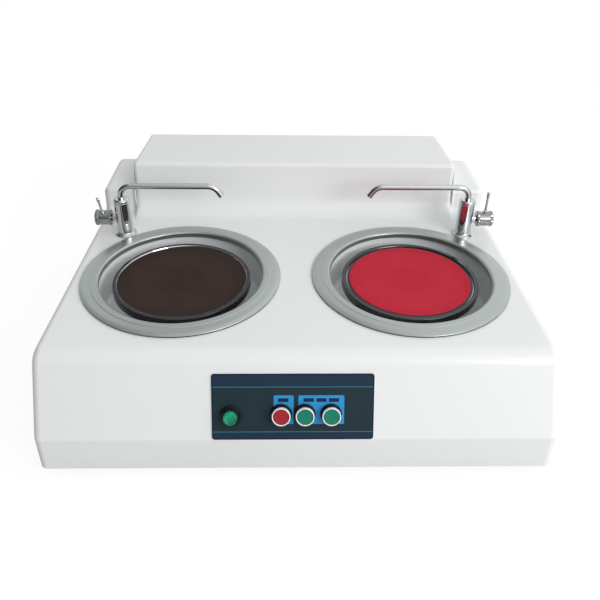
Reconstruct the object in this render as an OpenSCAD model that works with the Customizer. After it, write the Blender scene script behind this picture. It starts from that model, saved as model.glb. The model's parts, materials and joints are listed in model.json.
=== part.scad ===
// Metallographic polishing machine: two discs side by side in a moulded bench-top shell.
// +Z is up and +X runs along the width. The controls face -Y. The feet stand on Z = 0.

/* [Shell] */
// Width from each splash ring out to the end of the shell at its front foot
end_margin = 31.5; // [30:0.5:50]
// Depth from the front foot back to the splash rings
front_margin = 84; // [82:0.5:96]
// Depth from the splash rings back to the step
step_margin = 61; // [56:1:80]
// Height of the deck over the foot of the shell
deck_h = 166; // [160:1:190]
// Height of the upright band round the foot of the front
band_h = 56; // [45:1:65]
// Lean of the control face away from upright, in degrees
face_lean = 25.5; // [20:0.5:28]
// Width lost on each side between the foot and the deck
side_loss = 3; // [1:0.5:6]
// Width lost on each side from the front back to the step
side_spread = 19; // [10:1:24]
// Thickness of the moulding
wall = 4; // [3:0.5:5]
// Radius where the deck rolls over into the control face
brow_r = 30; // [22:1:32]
// Radius of the shoulders along both ends
shoulder_r = 12; // [8:1:14]

/* [Rear step] */
// Width from each end of the shell's front foot in to the hump
wing_w = 81; // [79:1:96]
// Depth of the hump from front edge to back
hump_d = 137; // [128:1:160]
// Height of the hump over the deck
hump_h = 91.5; // [80:0.5:110]
// Width lost on each side of the hump towards the back
hump_taper = 10; // [6:1:18]
// How far the low wings stand back from the front of the hump
wing_back = 3; // [1:0.5:8]
// Height of the wings over the deck
wing_h = 42; // [34:1:50]
// Radius of the sweep from the deck up into the hump
sweep_r = 33; // [24:1:36]
// Radius of the upper edges
edge_r = 8; // [5:0.5:10]

/* [Discs] */
// Diameter of the platens
platen_d = 202; // [190:1:230]
// Thickness of the platens
platen_t = 12; // [8:0.5:16]
// Depth of the platen face below the deck
platen_sink = 6.6; // [5:0.1:9]
// Width of the clamp rings round the platens
clamp_band = 4.7; // [4:0.1:7]
// Diameter of the spindles
spindle_d = 20; // [17:0.5:24]
// How far the edge of the abrasive paper lies inside the platen's
paper_in = 1.5; // [1:0.5:6]
// How far the edge of the polishing cloth lies inside the platen's
cloth_in = 7; // [6:0.5:14]

/* [Basins] */
// Gap between the platens and the splash rings
basin_gap = 24; // [22:0.5:30]
// Width of the splash rings from bore to outer edge
ring_band = 27.5; // [26:0.5:34]
// Gap between the two splash rings
ring_gap = 49; // [40:1:70]
// Height of the bead of the splash rings over the deck
ring_rise = 6.4; // [4:0.2:9]
// Depth of the bowls below the deck
bowl_depth = 62; // [54:1:66]
// Thickness of the bowl moulding
bowl_t = 3; // [2:0.5:4]

/* [Control panel] */
// Width of the control panel
panel_w = 219; // [214:1:240]
// Height of the control panel along the slope
panel_h = 92.6; // [88:0.2:96]
// Distance from the brow line down the slope to the middle of the panel
panel_drop = 74.5; // [73:0.5:76]
// Offset of the panel from the middle of the machine
panel_x = -7; // [-20:1:20]
// Diameter of the push button bezels
bezel_d = 25.2; // [23:0.2:28]
// Height of the push button bezels over the panel
bezel_h = 14; // [11:0.5:18]
// Travel of the push buttons
press = 3; // [2:0.2:3.6]
// Diameter of the pilot lamp lens
lens_d = 20; // [17:0.5:22]

/* [Taps] */
// Gap between the splash rings and the tap flanges
tap_gap = 2.1; // [1:0.1:8]
// Bearing of each tap from its disc centre, in degrees back from straight outwards
tap_bearing = 50.4; // [44:0.2:60]
// Height of the tap bodies over the deck
tap_h = 66; // [58:1:74]
// Diameter of the tap bodies
tap_d = 26; // [22:0.5:30]
// Height of the spout arm over the deck
spout_h = 87.5; // [82:0.5:100]
// Reach of the spout from the tap axis to its down-turned end
spout_reach = 143; // [120:1:160]
// Outer diameter of the spout tube
spout_d = 10; // [8:0.2:11]
// Diameter of the valve knobs
knob_d = 26; // [22:0.5:28]

/* [Drive] */
// Depth of the hump that the motor casing leaves free, front and back together
motor_room = 19; // [18:1:40]
// Height of the motor casing
motor_h = 140; // [120:1:160]
// Pitch diameter of the motor pulley
small_pulley_d = 56; // [50:1:64]
// Pitch diameter of the disc pulleys
large_pulley_d = 140; // [120:1:150]
// Height of the deep channel that carries the spindles
bridge_h = 49; // [47:1:54]

/* [Feet and plumbing] */
// Height of the rubber feet
foot_h = 12; // [8:1:20]
// Outer diameter of the drain pipe
drain_d = 20; // [16:1:24]
// Outer diameter of the water pipe
water_d = 10; // [8:0.5:12]
// Reach of the rear fittings behind the shell
rear_reach = 22; // [16:1:30]

/* [Hidden] */
$fn = 64;
// Clearances
fit = 0.05; // running fit of a shaft, on the radius
seat = 0.3; // gap between neighbours that only meet
over = 1; // overrun of a cut
// Diameters and places that follow from the platens
ring_bore = platen_d + basin_gap * 2;
ring_d = ring_bore + ring_band * 2;
clamp_d = platen_d + clamp_band * 2;
paper_d = platen_d - paper_in * 2;
cloth_d = platen_d - cloth_in * 2;
disc_pitch = ring_d + ring_gap;
disc_set = front_margin + ring_d / 2;
shell_w = disc_pitch + ring_d + end_margin * 2;
shell_d = disc_set + ring_d / 2 + step_margin + hump_d;
hump_w = shell_w - wing_w * 2;
wing_d = hump_d - wing_back;
motor_d = hump_d - motor_room;
tap_flange_r = 18;
tap_far = ring_d / 2 + tap_gap + tap_flange_r;
tap_x = disc_pitch / 2 + tap_far * cos(tap_bearing);
tap_back = tap_far * sin(tap_bearing);
// Levels and the main places
foot_z = foot_h;
deck_z = foot_z + deck_h;
band_z = foot_z + band_h;
panel_t = 2;
lamp_h = 17;
lamp_up = -12;
lens_crown_share = 0.4; // radius of the lens's crown as a share of its diameter
// How far the lamp stands out beyond the front foot
lamp_proud = (panel_drop - lamp_up + lens_d * lens_crown_share) * sin(face_lean)
    + (panel_t + lamp_h) * cos(face_lean) - (deck_h - band_h) * tan(face_lean);
front_y = lamp_proud - (lamp_proud + shell_d + rear_reach) / 2;
back_y = front_y + shell_d;
brow_y = front_y + (deck_z - band_z) * tan(face_lean);
disc_y = front_y + disc_set;
disc_x = disc_pitch / 2;
hump_y = back_y - hump_d;
motor_y = back_y - hump_d / 2;
base_t = 3;
base_z = foot_z + base_t;

// Shell outline: corners of the side profile, from the front foot over the top to the back foot
step_lean = 4; // degrees
back_loss = 2; // depth lost at the back between the foot and the top
end_taper = 3; // width lost on each side behind the step
nook_r = 6; // radius in the angle between hump and wing
wing_sweep_r = 14;
hump_back_r = 12; // radius of the hump's rear corners in plan
crease_r = 7;

function step_corners(front, top) = [
    [front_y, foot_z],
    [front_y, band_z],
    [brow_y, deck_z],
    [front - (top - deck_z) * tan(step_lean), deck_z],
    [front, top],
    [back_y - back_loss, top],
    [back_y, foot_z],
    [hump_y, foot_z]
];

// Each corner's outer radius, negative where the corner is hollow, and its number of chords
function step_radii(sweep) = [0, crease_r, brow_r, -sweep, edge_r, edge_r, 0, 0];
step_chords = [0, 4, 8, 7, 5, 5, 0, 0];

function unit(v) = v / norm(v);
function inward(a, b) = let (d = unit(b - a)) [d[1], -d[0]];
function turned(v, a) = [v[0] * cos(a) - v[1] * sin(a), v[0] * sin(a) + v[1] * cos(a)];

// Where the lines of two neighbouring edges meet once both have moved in by e1 and e2
function moved_corner(p, n1, n2, e1, e2) =
    let (
        c1 = p * n1 + e1,
        c2 = p * n2 + e2,
        det = n1[0] * n2[1] - n1[1] * n2[0]
    )
    det == 0
        ? p + n1 * e1
        : [(c1 * n2[1] - c2 * n1[1]) / det, (c2 * n1[0] - c1 * n2[0]) / det];

// Rounded side profile, with edge i moved in by moves[i]. The last edge closes it along the foot.
function profile(corners, radii, moves) =
    let (
        count = len(corners),
        normals = [for (i = [0 : count - 1]) inward(corners[i], corners[(i + 1) % count])]
    )
    [
        for (i = [0 : count - 1])
            let (
                n1 = normals[(i + count - 1) % count],
                n2 = normals[i],
                e1 = moves[(i + count - 1) % count],
                e2 = moves[i],
                p = moved_corner(corners[i], n1, n2, e1, e2),
                turn = asin(n1[0] * n2[1] - n1[1] * n2[0]),
                sign = radii[i] < 0 ? -1 : 1,
                r = sign * max(abs(radii[i]) - sign * max(e1, e2), edge_r / 16),
                start = p - [-n1[1], n1[0]] * abs(r) * tan(abs(turn) / 2) * sign * sign,
                centre = start + n1 * r
            )
            if (step_chords[i] == 0) p
            else each [
                for (k = [0 : step_chords[i]])
                    centre - turned(n1, turn * k / step_chords[i]) * r
            ]
    ];

// Stations along X. Each is [kind, sideways step, share of the step's own inset, inset of all edges].
// Kind 0 hangs from the end of the shell and kind 1 from the side of the hump.
end_steps = 5;
nook_steps = 3;
cap_steps = 5;
function half_stations() = concat(
    [for (k = [0 : end_steps]) let (a = 90 * k / end_steps)
        [0, shoulder_r * (1 - cos(a)), 0, shoulder_r * (1 - sin(a)), false]],
    [for (k = [0 : nook_steps]) let (a = 90 * k / nook_steps)
        [1, -edge_r / 4 - nook_r * (1 - sin(a)), -nook_r * (1 - cos(a)), 0, false]],
    [for (k = [0 : cap_steps]) let (a = 90 * k / cap_steps)
        [1, edge_r * (1 - cos(a)), edge_r * (1 - sin(a)), 0, true]]
);

// Half widths at a point of the profile
function end_x(y, z) =
    shell_w / 2 - side_loss * (z - foot_z) / deck_h
    - side_spread * min(1, (y - front_y) / (hump_y - front_y))
    - end_taper * max(0, y - hump_y) / hump_d;
function hump_x(y) =
    let (
        along = max(0, y - hump_y) / hump_d,
        past = max(0, min(y - (back_y - hump_back_r), hump_back_r))
    )
    hump_w / 2 - hump_taper * along - hump_back_r + sqrt(hump_back_r * hump_back_r - past * past);

// One section of the skin. skin is the depth below the outer face, used for the cavity.
function section(s, side, skin, below) =
    let (
        on_hump = s[4],
        step = s[2] + skin,
        all = s[3] + skin,
        moves = [all, all, all, s[3] + step, s[3] + step, all, -below, -below],
        corners = on_hump
            ? step_corners(hump_y, deck_z + hump_h)
            : step_corners(back_y - wing_d, deck_z + wing_h)
    )
    [
        for (p = profile(corners, step_radii(on_hump ? sweep_r : wing_sweep_r), moves))
            [side * ((s[0] == 0 ? end_x(p[0], p[1]) : hump_x(p[0])) - s[1] - skin), p[0], p[1]]
    ];

// Closed skin through all the sections. The two ends are fans round a point below the step.
fan_y = hump_y + shoulder_r * 2;
fan_z = foot_z + deck_h / 2;
function fan_point(side, depth) = [side * (end_x(fan_y, fan_z) - depth), fan_y, fan_z];
module skin(depth, below) {
    half = half_stations();
    last = len(half) - 1;
    rows = concat(
        [for (i = [0 : last]) section(half[i], -1, depth, below)],
        [for (i = [last : -1 : 0]) section(half[i], 1, depth, below)]
    );
    n = len(rows[0]);
    m = len(rows);
    tips = [fan_point(-1, depth), fan_point(1, depth)];
    points = concat([for (row = rows) each row], tips);
    sides = [
        for (i = [0 : m - 2], j = [0 : n - 1])
            let (a = i * n + j, b = i * n + (j + 1) % n)
            each [[a, b + n, a + n], [a, b, b + n]]
    ];
    ends = [
        for (j = [0 : n - 1])
            let (k = (j + 1) % n, top = (m - 1) * n)
            each [[m * n, k, j], [m * n + 1, top + j, top + k]]
    ];
    polyhedron(points, concat(sides, ends), convexity = 8);
}

// Frames that the sub-parts are placed in
module at_disc(side) translate([side * disc_x, disc_y, deck_z]) children();
module on_panel(x = 0, up = 0)
    translate([panel_x, brow_y - panel_drop * sin(face_lean), deck_z - panel_drop * cos(face_lean)])
        rotate([90 - face_lean, 0, 0]) translate([x, up, 0]) children();
module at_tap(side) translate([side * tap_x, disc_y + tap_back, deck_z])
    mirror([side > 0 ? 0 : 1, 0, 0]) children();
module tube(r_out, r_in, h) linear_extrude(h) difference() {
    circle(r_out);
    circle(r_in);
}
module pipe_run(points, r) for (i = [0 : len(points) - 2]) {
    run = points[i + 1] - points[i];
    translate(points[i]) rotate([0, acos(run[2] / norm(run)), atan2(run[1], run[0])])
        cylinder(r = r, h = norm(run));
}

// Housing
button_up = -9.7;
stop_x = -16;
start_x = [16, 51.5];
lamp_x = -84;
switch_hole_r = 11;
bowl_round = 7; // how far the bowls reach out beyond the bore of the rings
bowl_gap = 6; // gap between the bowls and the holes in the deck
bowl_r = ring_bore / 2 + bowl_round;
deck_hole_r = bowl_r + bowl_gap;
tap_stem_r = 8;
base_boss_r = 10;
base_boss_h = 30;
boss_bite = 1; // how far a boss sinks into the wall
base_bolt_r = 2;
vent_count = 9;
vent_w = 4;
vent_h = 46;
vent_pitch = 11;
supply_drop = 71; // depth of the water pipes below the deck
drain_drop = 97; // depth of the drain pipes below the deck
gland_aside = 60; // distance from the water inlet out to the cable gland
gland_rise = 30; // height of the cable gland over the base plate
supply_x = -disc_x;
gland_x = -disc_x - gland_aside;
supply_z = deck_z - supply_drop;
drain_z = deck_z - drain_drop;
gland_z = base_z + gland_rise;
gland_r = 8;

module base_points() for (sx = [-1, 0, 1], sy = [0, 1])
    let (
        in = wall + base_boss_r - boss_bite,
        y = sy == 0 ? front_y + in : back_y - in
    )
    translate([sx * (end_x(y, base_z) - in), y, base_z]) children();

module housing_shell() color([0.93, 0.94, 0.93]) difference() {
    union() {
        difference() {
            skin(0, 0);
            skin(wall, over);
        }
        base_points() cylinder(r = base_boss_r, h = base_boss_h);
    }
    for (side = [-1, 1]) {
        at_disc(side) translate([0, 0, -wall * 2]) cylinder(r = deck_hole_r, h = wall * 4);
        at_tap(side) translate([0, 0, -wall * 2]) cylinder(r = tap_stem_r + fit, h = wall * 4);
    }
    for (x = concat([stop_x], start_x)) on_panel(x, button_up)
        translate([0, 0, -wall * 2]) cylinder(r = switch_hole_r, h = wall * 4);
    on_panel(lamp_x, lamp_up) translate([0, 0, -wall * 2]) cylinder(r = switch_hole_r, h = wall * 4);
    for (hole = [
        [supply_x, supply_z, water_d / 2 + wall / 2],
        [disc_x, drain_z, drain_d / 2 + seat],
        [gland_x, gland_z, gland_r]
    ]) translate([hole[0], back_y - wall * 3, hole[1]]) rotate([-90, 0, 0])
        cylinder(r = hole[2], h = wall * 6);
    for (i = [0 : vent_count - 1])
        translate([(i - (vent_count - 1) / 2) * vent_pitch, back_y - wall * 3, deck_z - vent_h])
            translate([-vent_w / 2, 0, 0]) cube([vent_w, wall * 6, vent_h]);
    base_points() translate([0, 0, -over]) cylinder(r = base_bolt_r, h = base_boss_h / 2);
}

// Base plate, its screws and the feet
foot_r = 18;
foot_in = 44;
foot_top_share = 0.9; // radius of a foot's top as a share of its radius
base_round = shoulder_r + wall / 2;
plate_gap = wall + seat;

module base_plate() color([0.55, 0.56, 0.58]) difference() {
    in = plate_gap + base_round;
    places = [front_y + in, hump_y, back_y - in];
    translate([0, 0, foot_z]) linear_extrude(base_t) offset(base_round) polygon(concat(
        [for (i = [0 : 2]) [end_x(places[i], base_z) - in, places[i]]],
        [for (i = [2 : -1 : 0]) [in - end_x(places[i], base_z), places[i]]]
    ));
    base_points() translate([0, 0, -base_t - over]) cylinder(r = base_bolt_r + fit, h = base_t + over * 2);
}

module base_screws() color([0.7, 0.7, 0.72]) base_points() translate([0, 0, -base_t]) {
    cylinder(r = base_bolt_r - fit, h = base_t + base_boss_h / 3);
    translate([0, 0, -base_bolt_r]) cylinder(r = base_bolt_r * 2, h = base_bolt_r);
}

module rubber_feet() color([0.1, 0.1, 0.1])
    for (sx = [-1, 1], y = [front_y + foot_in, back_y - foot_in])
        translate([sx * (end_x(y, foot_z) - foot_in), y, 0])
            rotate_extrude() polygon([
                [0, 0], [foot_r - foot_h / 6, 0], [foot_r, foot_h / 6], [foot_r * foot_top_share, foot_z], [0, foot_z]
            ]);

// Bridge channel that carries both spindles and the motor
bridge_t = 5;
bridge_side_room = 16; // distance from the rim of a disc pulley to the channel's front edge
bridge_end_room = 14; // distance from the rim of a disc pulley to the channel's ends
bridge_w = large_pulley_d + bridge_side_room * 2;
bridge_past = large_pulley_d / 2 + bridge_end_room;
bridge_top = base_z + bridge_h;
housing_bolt_r = 3;
housing_bolt_ring = 40;
tail_past = 9; // how far the tail reaches beyond the motor mount on each side
mount_past = 7; // how far the motor mount reaches beyond the motor on each side
mount_side = motor_d + mount_past * 2;
tail_w = mount_side + tail_past * 2;
bridge_end = disc_x + bridge_past;
mount_slot_r = 4;
small_hub_gap = 6; // gap between the motor pulley and its hole in the channel
small_hub_r = small_pulley_d / 2 + small_hub_gap;

module bridge_outline() {
    translate([-bridge_end, disc_y - bridge_w / 2]) square([bridge_end * 2, bridge_w]);
    translate([-tail_w / 2, disc_y]) square([tail_w, motor_y + motor_d / 2 - disc_y]);
}

module bridge_channel() color([0.35, 0.37, 0.4]) difference() {
    union() {
        translate([0, 0, bridge_top - bridge_t]) linear_extrude(bridge_t) bridge_outline();
        for (sx = [-1, 1]) translate([sx * (bridge_end - bridge_t / 2) - bridge_t / 2,
            disc_y - bridge_w / 2, base_z]) cube([bridge_t, bridge_w, bridge_h]);
        translate([-bridge_end, disc_y - bridge_w / 2, base_z]) cube([bridge_end * 2, bridge_t, bridge_h]);
        for (sx = [-1, 1]) translate([sx * (tail_w - bridge_t) / 2 - bridge_t / 2,
            motor_y + motor_d / 2 - bridge_t * 4, base_z]) cube([bridge_t, bridge_t * 4, bridge_h]);
    }
    for (side = [-1, 1]) translate([side * disc_x, disc_y, bridge_top - bridge_t - over])
        cylinder(r = bearing_r + wall, h = bridge_t + over * 2);
    translate([0, motor_y, bridge_top - bridge_t - over]) cylinder(r = small_hub_r, h = bridge_t + over * 2);
}

// Bowls and splash rings
bowl_flange_w = 15;
bowl_flange_r = bowl_r + bowl_flange_w;
bowl_flange_t = 2;
bowl_corner = 9;
hub_r = 24;
hub_h = 24;
spigot_in = 28; // distance from the bowl's wall in to its drain
spigot_back = bowl_r - spigot_in;
spigot_h = 16;
ring_lip = 5;
ring_drop = 3;

module bowl() difference() {
    union() {
        rotate_extrude() difference() {
            polygon([
                [hub_r - bowl_t, hub_h - bowl_depth - bowl_t], [hub_r - bowl_t, -bowl_depth - bowl_t],
                [bowl_r - bowl_corner, -bowl_depth - bowl_t], [bowl_r, bowl_corner - bowl_depth - bowl_t],
                [bowl_r, 0], [bowl_flange_r, 0], [bowl_flange_r, bowl_flange_t],
                [bowl_r - bowl_t, bowl_flange_t], [bowl_r - bowl_t, bowl_corner - bowl_depth],
                [bowl_r - bowl_t - bowl_corner, -bowl_depth], [hub_r, -bowl_depth],
                [hub_r, hub_h - bowl_depth - bowl_t]
            ]);
        }
        translate([0, spigot_back, -bowl_depth - bowl_t - spigot_h])
            cylinder(r = drain_d / 2 - bowl_t / 2, h = spigot_h + bowl_t / 2);
    }
    translate([0, spigot_back, -bowl_depth - bowl_t - spigot_h - over])
        cylinder(r = drain_d / 2 - bowl_t, h = spigot_h + bowl_t + over * 2);
}
module left_bowl() color([0.16, 0.16, 0.17]) at_disc(-1) bowl();
module right_bowl() color([0.16, 0.16, 0.17]) at_disc(1) bowl();

// The ring rises from a thin outer edge to a rounded bead and turns down inside the bowl
module splash_ring() {
    bead = ring_lip / 2;
    shelf = bowl_flange_t + seat / 2;
    inner = ring_bore / 2;
    rotate_extrude($fn = 96) difference() {
        union() {
            polygon([
                [inner, -ring_drop], [inner + bead, -ring_drop], [inner + bead, shelf],
                [bowl_flange_r + bead, shelf], [bowl_flange_r + bead, seat],
                [ring_d / 2 - bead / 4, seat], [ring_d / 2, seat + bead / 4],
                [ring_d / 2, seat + bead / 2], [inner + ring_lip * 2, ring_rise - bead / 4],
                [inner + bead, ring_rise], [inner, ring_rise - bead]
            ]);
            translate([inner + bead, ring_rise - bead]) circle(bead);
        }
    }
}
module left_splash_ring() color([0.66, 0.69, 0.67]) at_disc(-1) splash_ring();
module right_splash_ring() color([0.66, 0.69, 0.67]) at_disc(1) splash_ring();

// Platens with what they carry
pad_t = 0.8;
clamp_lip_t = 1.6;
platen_hub_r = 19;
platen_hub_h = 16;
spindle_nose = 14;
rim_h = 4;
slinger_r = 30;
slinger_t = 2;

module platen() difference() {
    translate([0, 0, -platen_sink]) rotate_extrude() polygon([
        [0, 0], [platen_d / 2, 0], [platen_d / 2, -platen_t], [platen_d / 2 - rim_h, -platen_t],
        [platen_d / 2 - rim_h * 2, -platen_t + rim_h], [platen_hub_r + rim_h, -platen_t + rim_h],
        [platen_hub_r, -platen_t], [platen_hub_r, -platen_t - platen_hub_h], [0, -platen_t - platen_hub_h]
    ]);
    translate([0, 0, -platen_sink - platen_t - platen_hub_h - over])
        cylinder(r = spindle_d / 2 + fit, h = platen_hub_h + spindle_nose / 2 + over);
}
module left_platen() color([0.72, 0.73, 0.74]) at_disc(-1) platen();
module right_platen() color([0.72, 0.73, 0.74]) at_disc(1) platen();

module clamp_ring() {
    outer = clamp_d / 2;
    inner = platen_d / 2 + fit;
    top = -platen_sink + pad_t + clamp_lip_t + seat;
    rotate_extrude($fn = 96) polygon([
        [inner, -platen_sink - platen_t * 3 / 4], [outer, -platen_sink - platen_t * 3 / 4],
        [outer, top - clamp_lip_t], [outer - clamp_lip_t, top], [inner - clamp_lip_t, top],
        [inner - clamp_lip_t * 3 / 2, top - clamp_lip_t], [inner, top - clamp_lip_t]
    ]);
}
module left_clamp_ring() color([0.5, 0.51, 0.52]) at_disc(-1) clamp_ring();
module right_clamp_ring() color([0.5, 0.51, 0.52]) at_disc(1) clamp_ring();

module sheet(d, low, t) translate([0, 0, -platen_sink + low]) cylinder(d = d, h = t, $fn = 96);
module left_abrasive_paper() color([0.26, 0.19, 0.18]) at_disc(-1) sheet(paper_d, 0, pad_t);
module right_backing_pad() color([0.08, 0.08, 0.09]) at_disc(1) sheet(paper_d - rim_h, 0, pad_t);
module right_polishing_cloth() color([0.8, 0.18, 0.26]) at_disc(1) sheet(cloth_d, pad_t, pad_t);

// The slinger throws water clear of the hub of the bowl
module slinger() translate([0, 0, -platen_sink - platen_t - platen_hub_h]) rotate_extrude() polygon([
    [spindle_d / 2 + fit, -slinger_t], [slinger_r, -slinger_t], [slinger_r, -slinger_t * 4],
    [slinger_r + slinger_t, -slinger_t * 4], [slinger_r + slinger_t, 0], [spindle_d / 2 + fit, 0]
]);
module left_slinger() color([0.3, 0.3, 0.32]) at_disc(-1) slinger();
module right_slinger() color([0.3, 0.3, 0.32]) at_disc(1) slinger();

// Spindle bearings
bearing_r = 21;
bearing_w = 12;
race_t = 3;
shield_sink = 0.8;
housing_r = 30;
housing_flange_r = 50;
housing_flange_t = 8;
housing_h = 44;
bolt_count = 4;
bridge_drop = deck_z - bridge_top;
spindle_end_gap = 8; // gap between the spindles and the base plate
spindle_low = deck_z - base_z - spindle_end_gap;

module spindle() {
    top = -platen_sink - platen_t + spindle_nose / 2 - seat;
    translate([0, 0, -spindle_low]) cylinder(d = spindle_d, h = top + spindle_low);
}
module left_spindle() color([0.75, 0.76, 0.78]) at_disc(-1) spindle();
module right_spindle() color([0.75, 0.76, 0.78]) at_disc(1) spindle();

module bearing_housing() translate([0, 0, -bridge_drop]) difference() {
    union() {
        cylinder(r = housing_flange_r, h = housing_flange_t);
        cylinder(r = housing_r, h = housing_h);
        for (i = [0 : bolt_count - 1]) rotate(45 + 360 * i / bolt_count)
            translate([housing_bolt_ring, 0, 0]) cylinder(r = housing_bolt_r * 2, h = housing_flange_t * 3 / 2, $fn = 6);
    }
    translate([0, 0, -over]) cylinder(r = spindle_d / 2 + wall / 2, h = housing_h + over * 2);
    for (z = [-over, housing_h - bearing_w]) translate([0, 0, z]) cylinder(r = bearing_r, h = bearing_w + over);
}
module left_bearing_housing() color([0.32, 0.42, 0.5]) at_disc(-1) bearing_housing();
module right_bearing_housing() color([0.32, 0.42, 0.5]) at_disc(1) bearing_housing();

module bearing() {
    inner = spindle_d / 2 + fit;
    rotate_extrude() difference() {
        translate([inner, 0]) square([bearing_r - inner, bearing_w]);
        for (z = [0, bearing_w - shield_sink]) translate([inner + race_t, z])
            square([bearing_r - inner - race_t * 2, shield_sink]);
    }
}
module bearings() for (z = [0, housing_h - bearing_w]) translate([0, 0, z - bridge_drop]) bearing();
module left_bearings() color([0.8, 0.8, 0.82]) at_disc(-1) bearings();
module right_bearings() color([0.8, 0.8, 0.82]) at_disc(1) bearings();

// Pulleys and belts. The left belt runs over the right one at the motor.
belt_w = 10;
belt_t = 8;
belt_side = 18; // half angle of the groove in degrees
belt_pitch = 15;
groove_lip = 3;
belt_rise = 27; // height of the upper belt over the base plate
belt_z = [base_z + belt_rise, base_z + belt_rise - belt_pitch];
pulley_hub_r = 18;
belt_chords = 24;

// Half width of the groove at a depth below the pitch line
function groove_half(depth, gap) = (belt_w / 2) - depth * tan(belt_side) + gap;
module groove(pitch_r) polygon([
    [pitch_r + belt_t, groove_half(-belt_t, seat)], [pitch_r - belt_t, groove_half(belt_t, seat)],
    [pitch_r - belt_t, -groove_half(belt_t, seat)], [pitch_r + belt_t, -groove_half(-belt_t, seat)]
]);
module wheel(pitch_r, bore, low, high) rotate_extrude() difference() {
    translate([bore, low]) square([pitch_r + belt_t / 2 - bore, high - low]);
    children();
}

module disc_pulley(z) translate([0, 0, z - deck_z]) {
    half = groove_half(-belt_t / 2, groove_lip);
    difference() {
        wheel(large_pulley_d / 2, spindle_d / 2 + fit, -half, half) groove(large_pulley_d / 2);
        for (i = [0 : bolt_count - 1]) rotate(360 * i / bolt_count)
            translate([(large_pulley_d / 2 + pulley_hub_r - belt_t) / 2, 0, -half - over])
                cylinder(r = pulley_hub_r * 2 / 3, h = half * 2 + over * 2);
    }
}
module left_pulley() color([0.45, 0.46, 0.48]) at_disc(-1) disc_pulley(belt_z[0]);
module right_pulley() color([0.45, 0.46, 0.48]) at_disc(1) disc_pulley(belt_z[1]);

// Closed loop of a V belt round both pulleys, as one swept section
module belt(side, z) {
    start = [0, motor_y];
    end = [side * disc_x, disc_y];
    span = norm(end - start);
    heading = atan2(end[1] - start[1], end[0] - start[0]);
    big = large_pulley_d / 2;
    small = small_pulley_d / 2;
    open = acos((big - small) / span);
    path = concat(
        [for (k = [0 : belt_chords]) [end, big, heading - (180 - open) * (1 - 2 * k / belt_chords)]],
        [for (k = [0 : belt_chords]) [start, small, heading + (180 - open) + 2 * open * k / belt_chords]]
    );
    rim = [[-1, belt_t / 2], [1, belt_t / 2], [1, -belt_t / 2], [-1, -belt_t / 2]];
    n = len(path);
    points = [
        for (p = path, q = rim)
            let (r = p[1] + q[1], a = p[2])
            [p[0][0] + r * cos(a), p[0][1] + r * sin(a), z + q[0] * groove_half(-q[1], 0)]
    ];
    faces = [
        for (i = [0 : n - 1], j = [0 : 3])
            let (a = i * 4 + j, b = i * 4 + (j + 1) % 4, c = ((i + 1) % n) * 4 + (j + 1) % 4,
                d = ((i + 1) % n) * 4 + j)
            each [[a, b, c], [a, c, d]]
    ];
    polyhedron(points, faces, convexity = 4);
}
module left_belt() color([0.09, 0.09, 0.09]) belt(-1, belt_z[0]);
module right_belt() color([0.09, 0.09, 0.09]) belt(1, belt_z[1]);

// Motor
shaft_r = 9;
shaft_up = 40;
fin_count = 24;
fin_h = 4;
fin_t = 2;
mount_t = 6;
end_bell_h = 22;
motor_z = bridge_top + mount_t;

module at_motor(z) translate([0, motor_y, z]) children();

module motor_casing() color([0.28, 0.34, 0.4]) at_motor(motor_z) difference() {
    union() {
        cylinder(r = motor_d / 2 - fin_h, h = motor_h);
        cylinder(r = motor_d / 2, h = end_bell_h);
        translate([0, 0, motor_h - end_bell_h]) cylinder(r = motor_d / 2, h = end_bell_h);
        for (i = [0 : fin_count - 1]) rotate(360 * i / fin_count)
            translate([motor_d / 2 - fin_h * 2, -fin_t / 2, end_bell_h / 2])
                cube([fin_h * 2 - fit, fin_t, motor_h - end_bell_h]);
    }
    translate([0, 0, -over]) cylinder(r = shaft_r + fit, h = shaft_up * 2 + over);
}

module motor_mount() color([0.35, 0.37, 0.4]) at_motor(bridge_top) difference() {
    translate([-mount_side / 2, -motor_d / 2, 0]) cube([mount_side, motor_d, mount_t]);
    translate([0, 0, -over]) cylinder(r = shaft_r * 2, h = mount_t + over * 2);
    for (sx = [-1, 1], sy = [-1, 1])
        translate([sx * (mount_side / 2 - mount_slot_r * 2), sy * motor_d / 3, -over])
            cylinder(r = mount_slot_r, h = mount_t + over * 2);
}

module motor_shaft() color([0.75, 0.76, 0.78])
    at_motor(belt_z[1] - belt_pitch / 2) cylinder(r = shaft_r, h = motor_z + shaft_up - belt_z[1] + belt_pitch / 2);

module motor_pulley() color([0.45, 0.46, 0.48]) at_motor(belt_z[1]) {
    half = groove_half(-belt_t / 2, groove_lip / 4);
    wheel(small_pulley_d / 2, shaft_r + fit, -half, belt_pitch + half) {
        groove(small_pulley_d / 2);
        translate([0, belt_pitch]) groove(small_pulley_d / 2);
    }
}

// Box with the contactors and the terminals, on the base beside the motor
box_w = 96;
box_d = 70;
box_h = 62;
box_gap = 43; // gap between the box and the motor
box_x = -motor_d / 2 - box_gap - box_w / 2;
box_back = 40;
module control_box() color([0.78, 0.78, 0.74])
    translate([box_x - box_w / 2, back_y - box_back - box_d, base_z]) {
        cube([box_w, box_d, box_h]);
        for (i = [0 : 3]) translate([box_w * (i + 1) / 5, 0, box_h / 2]) rotate([90, 0, 0])
            cylinder(r = water_d / 2, h = water_d);
    }

// Control panel, its labels and the switches
panel_round = 4;
label_t = 0.4;
label_up = [-24, 16.5];
stop_label = [-26.2, 0.8];
start_label = [7.2, 69.2];
guard_r = 14.6;
guard_h = 3;
cap_gap = 0.3;
bezel_rim = 2;
cap_r = bezel_d / 2 - bezel_rim - cap_gap;
cap_sink = 1;
cap_stem_r = 6;
switch_w = 24;
switch_h = 30;
nut_r = 13;

module rounded(w, h, r, t) linear_extrude(t) offset(r) square([w - r * 2, h - r * 2], center = true);

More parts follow.
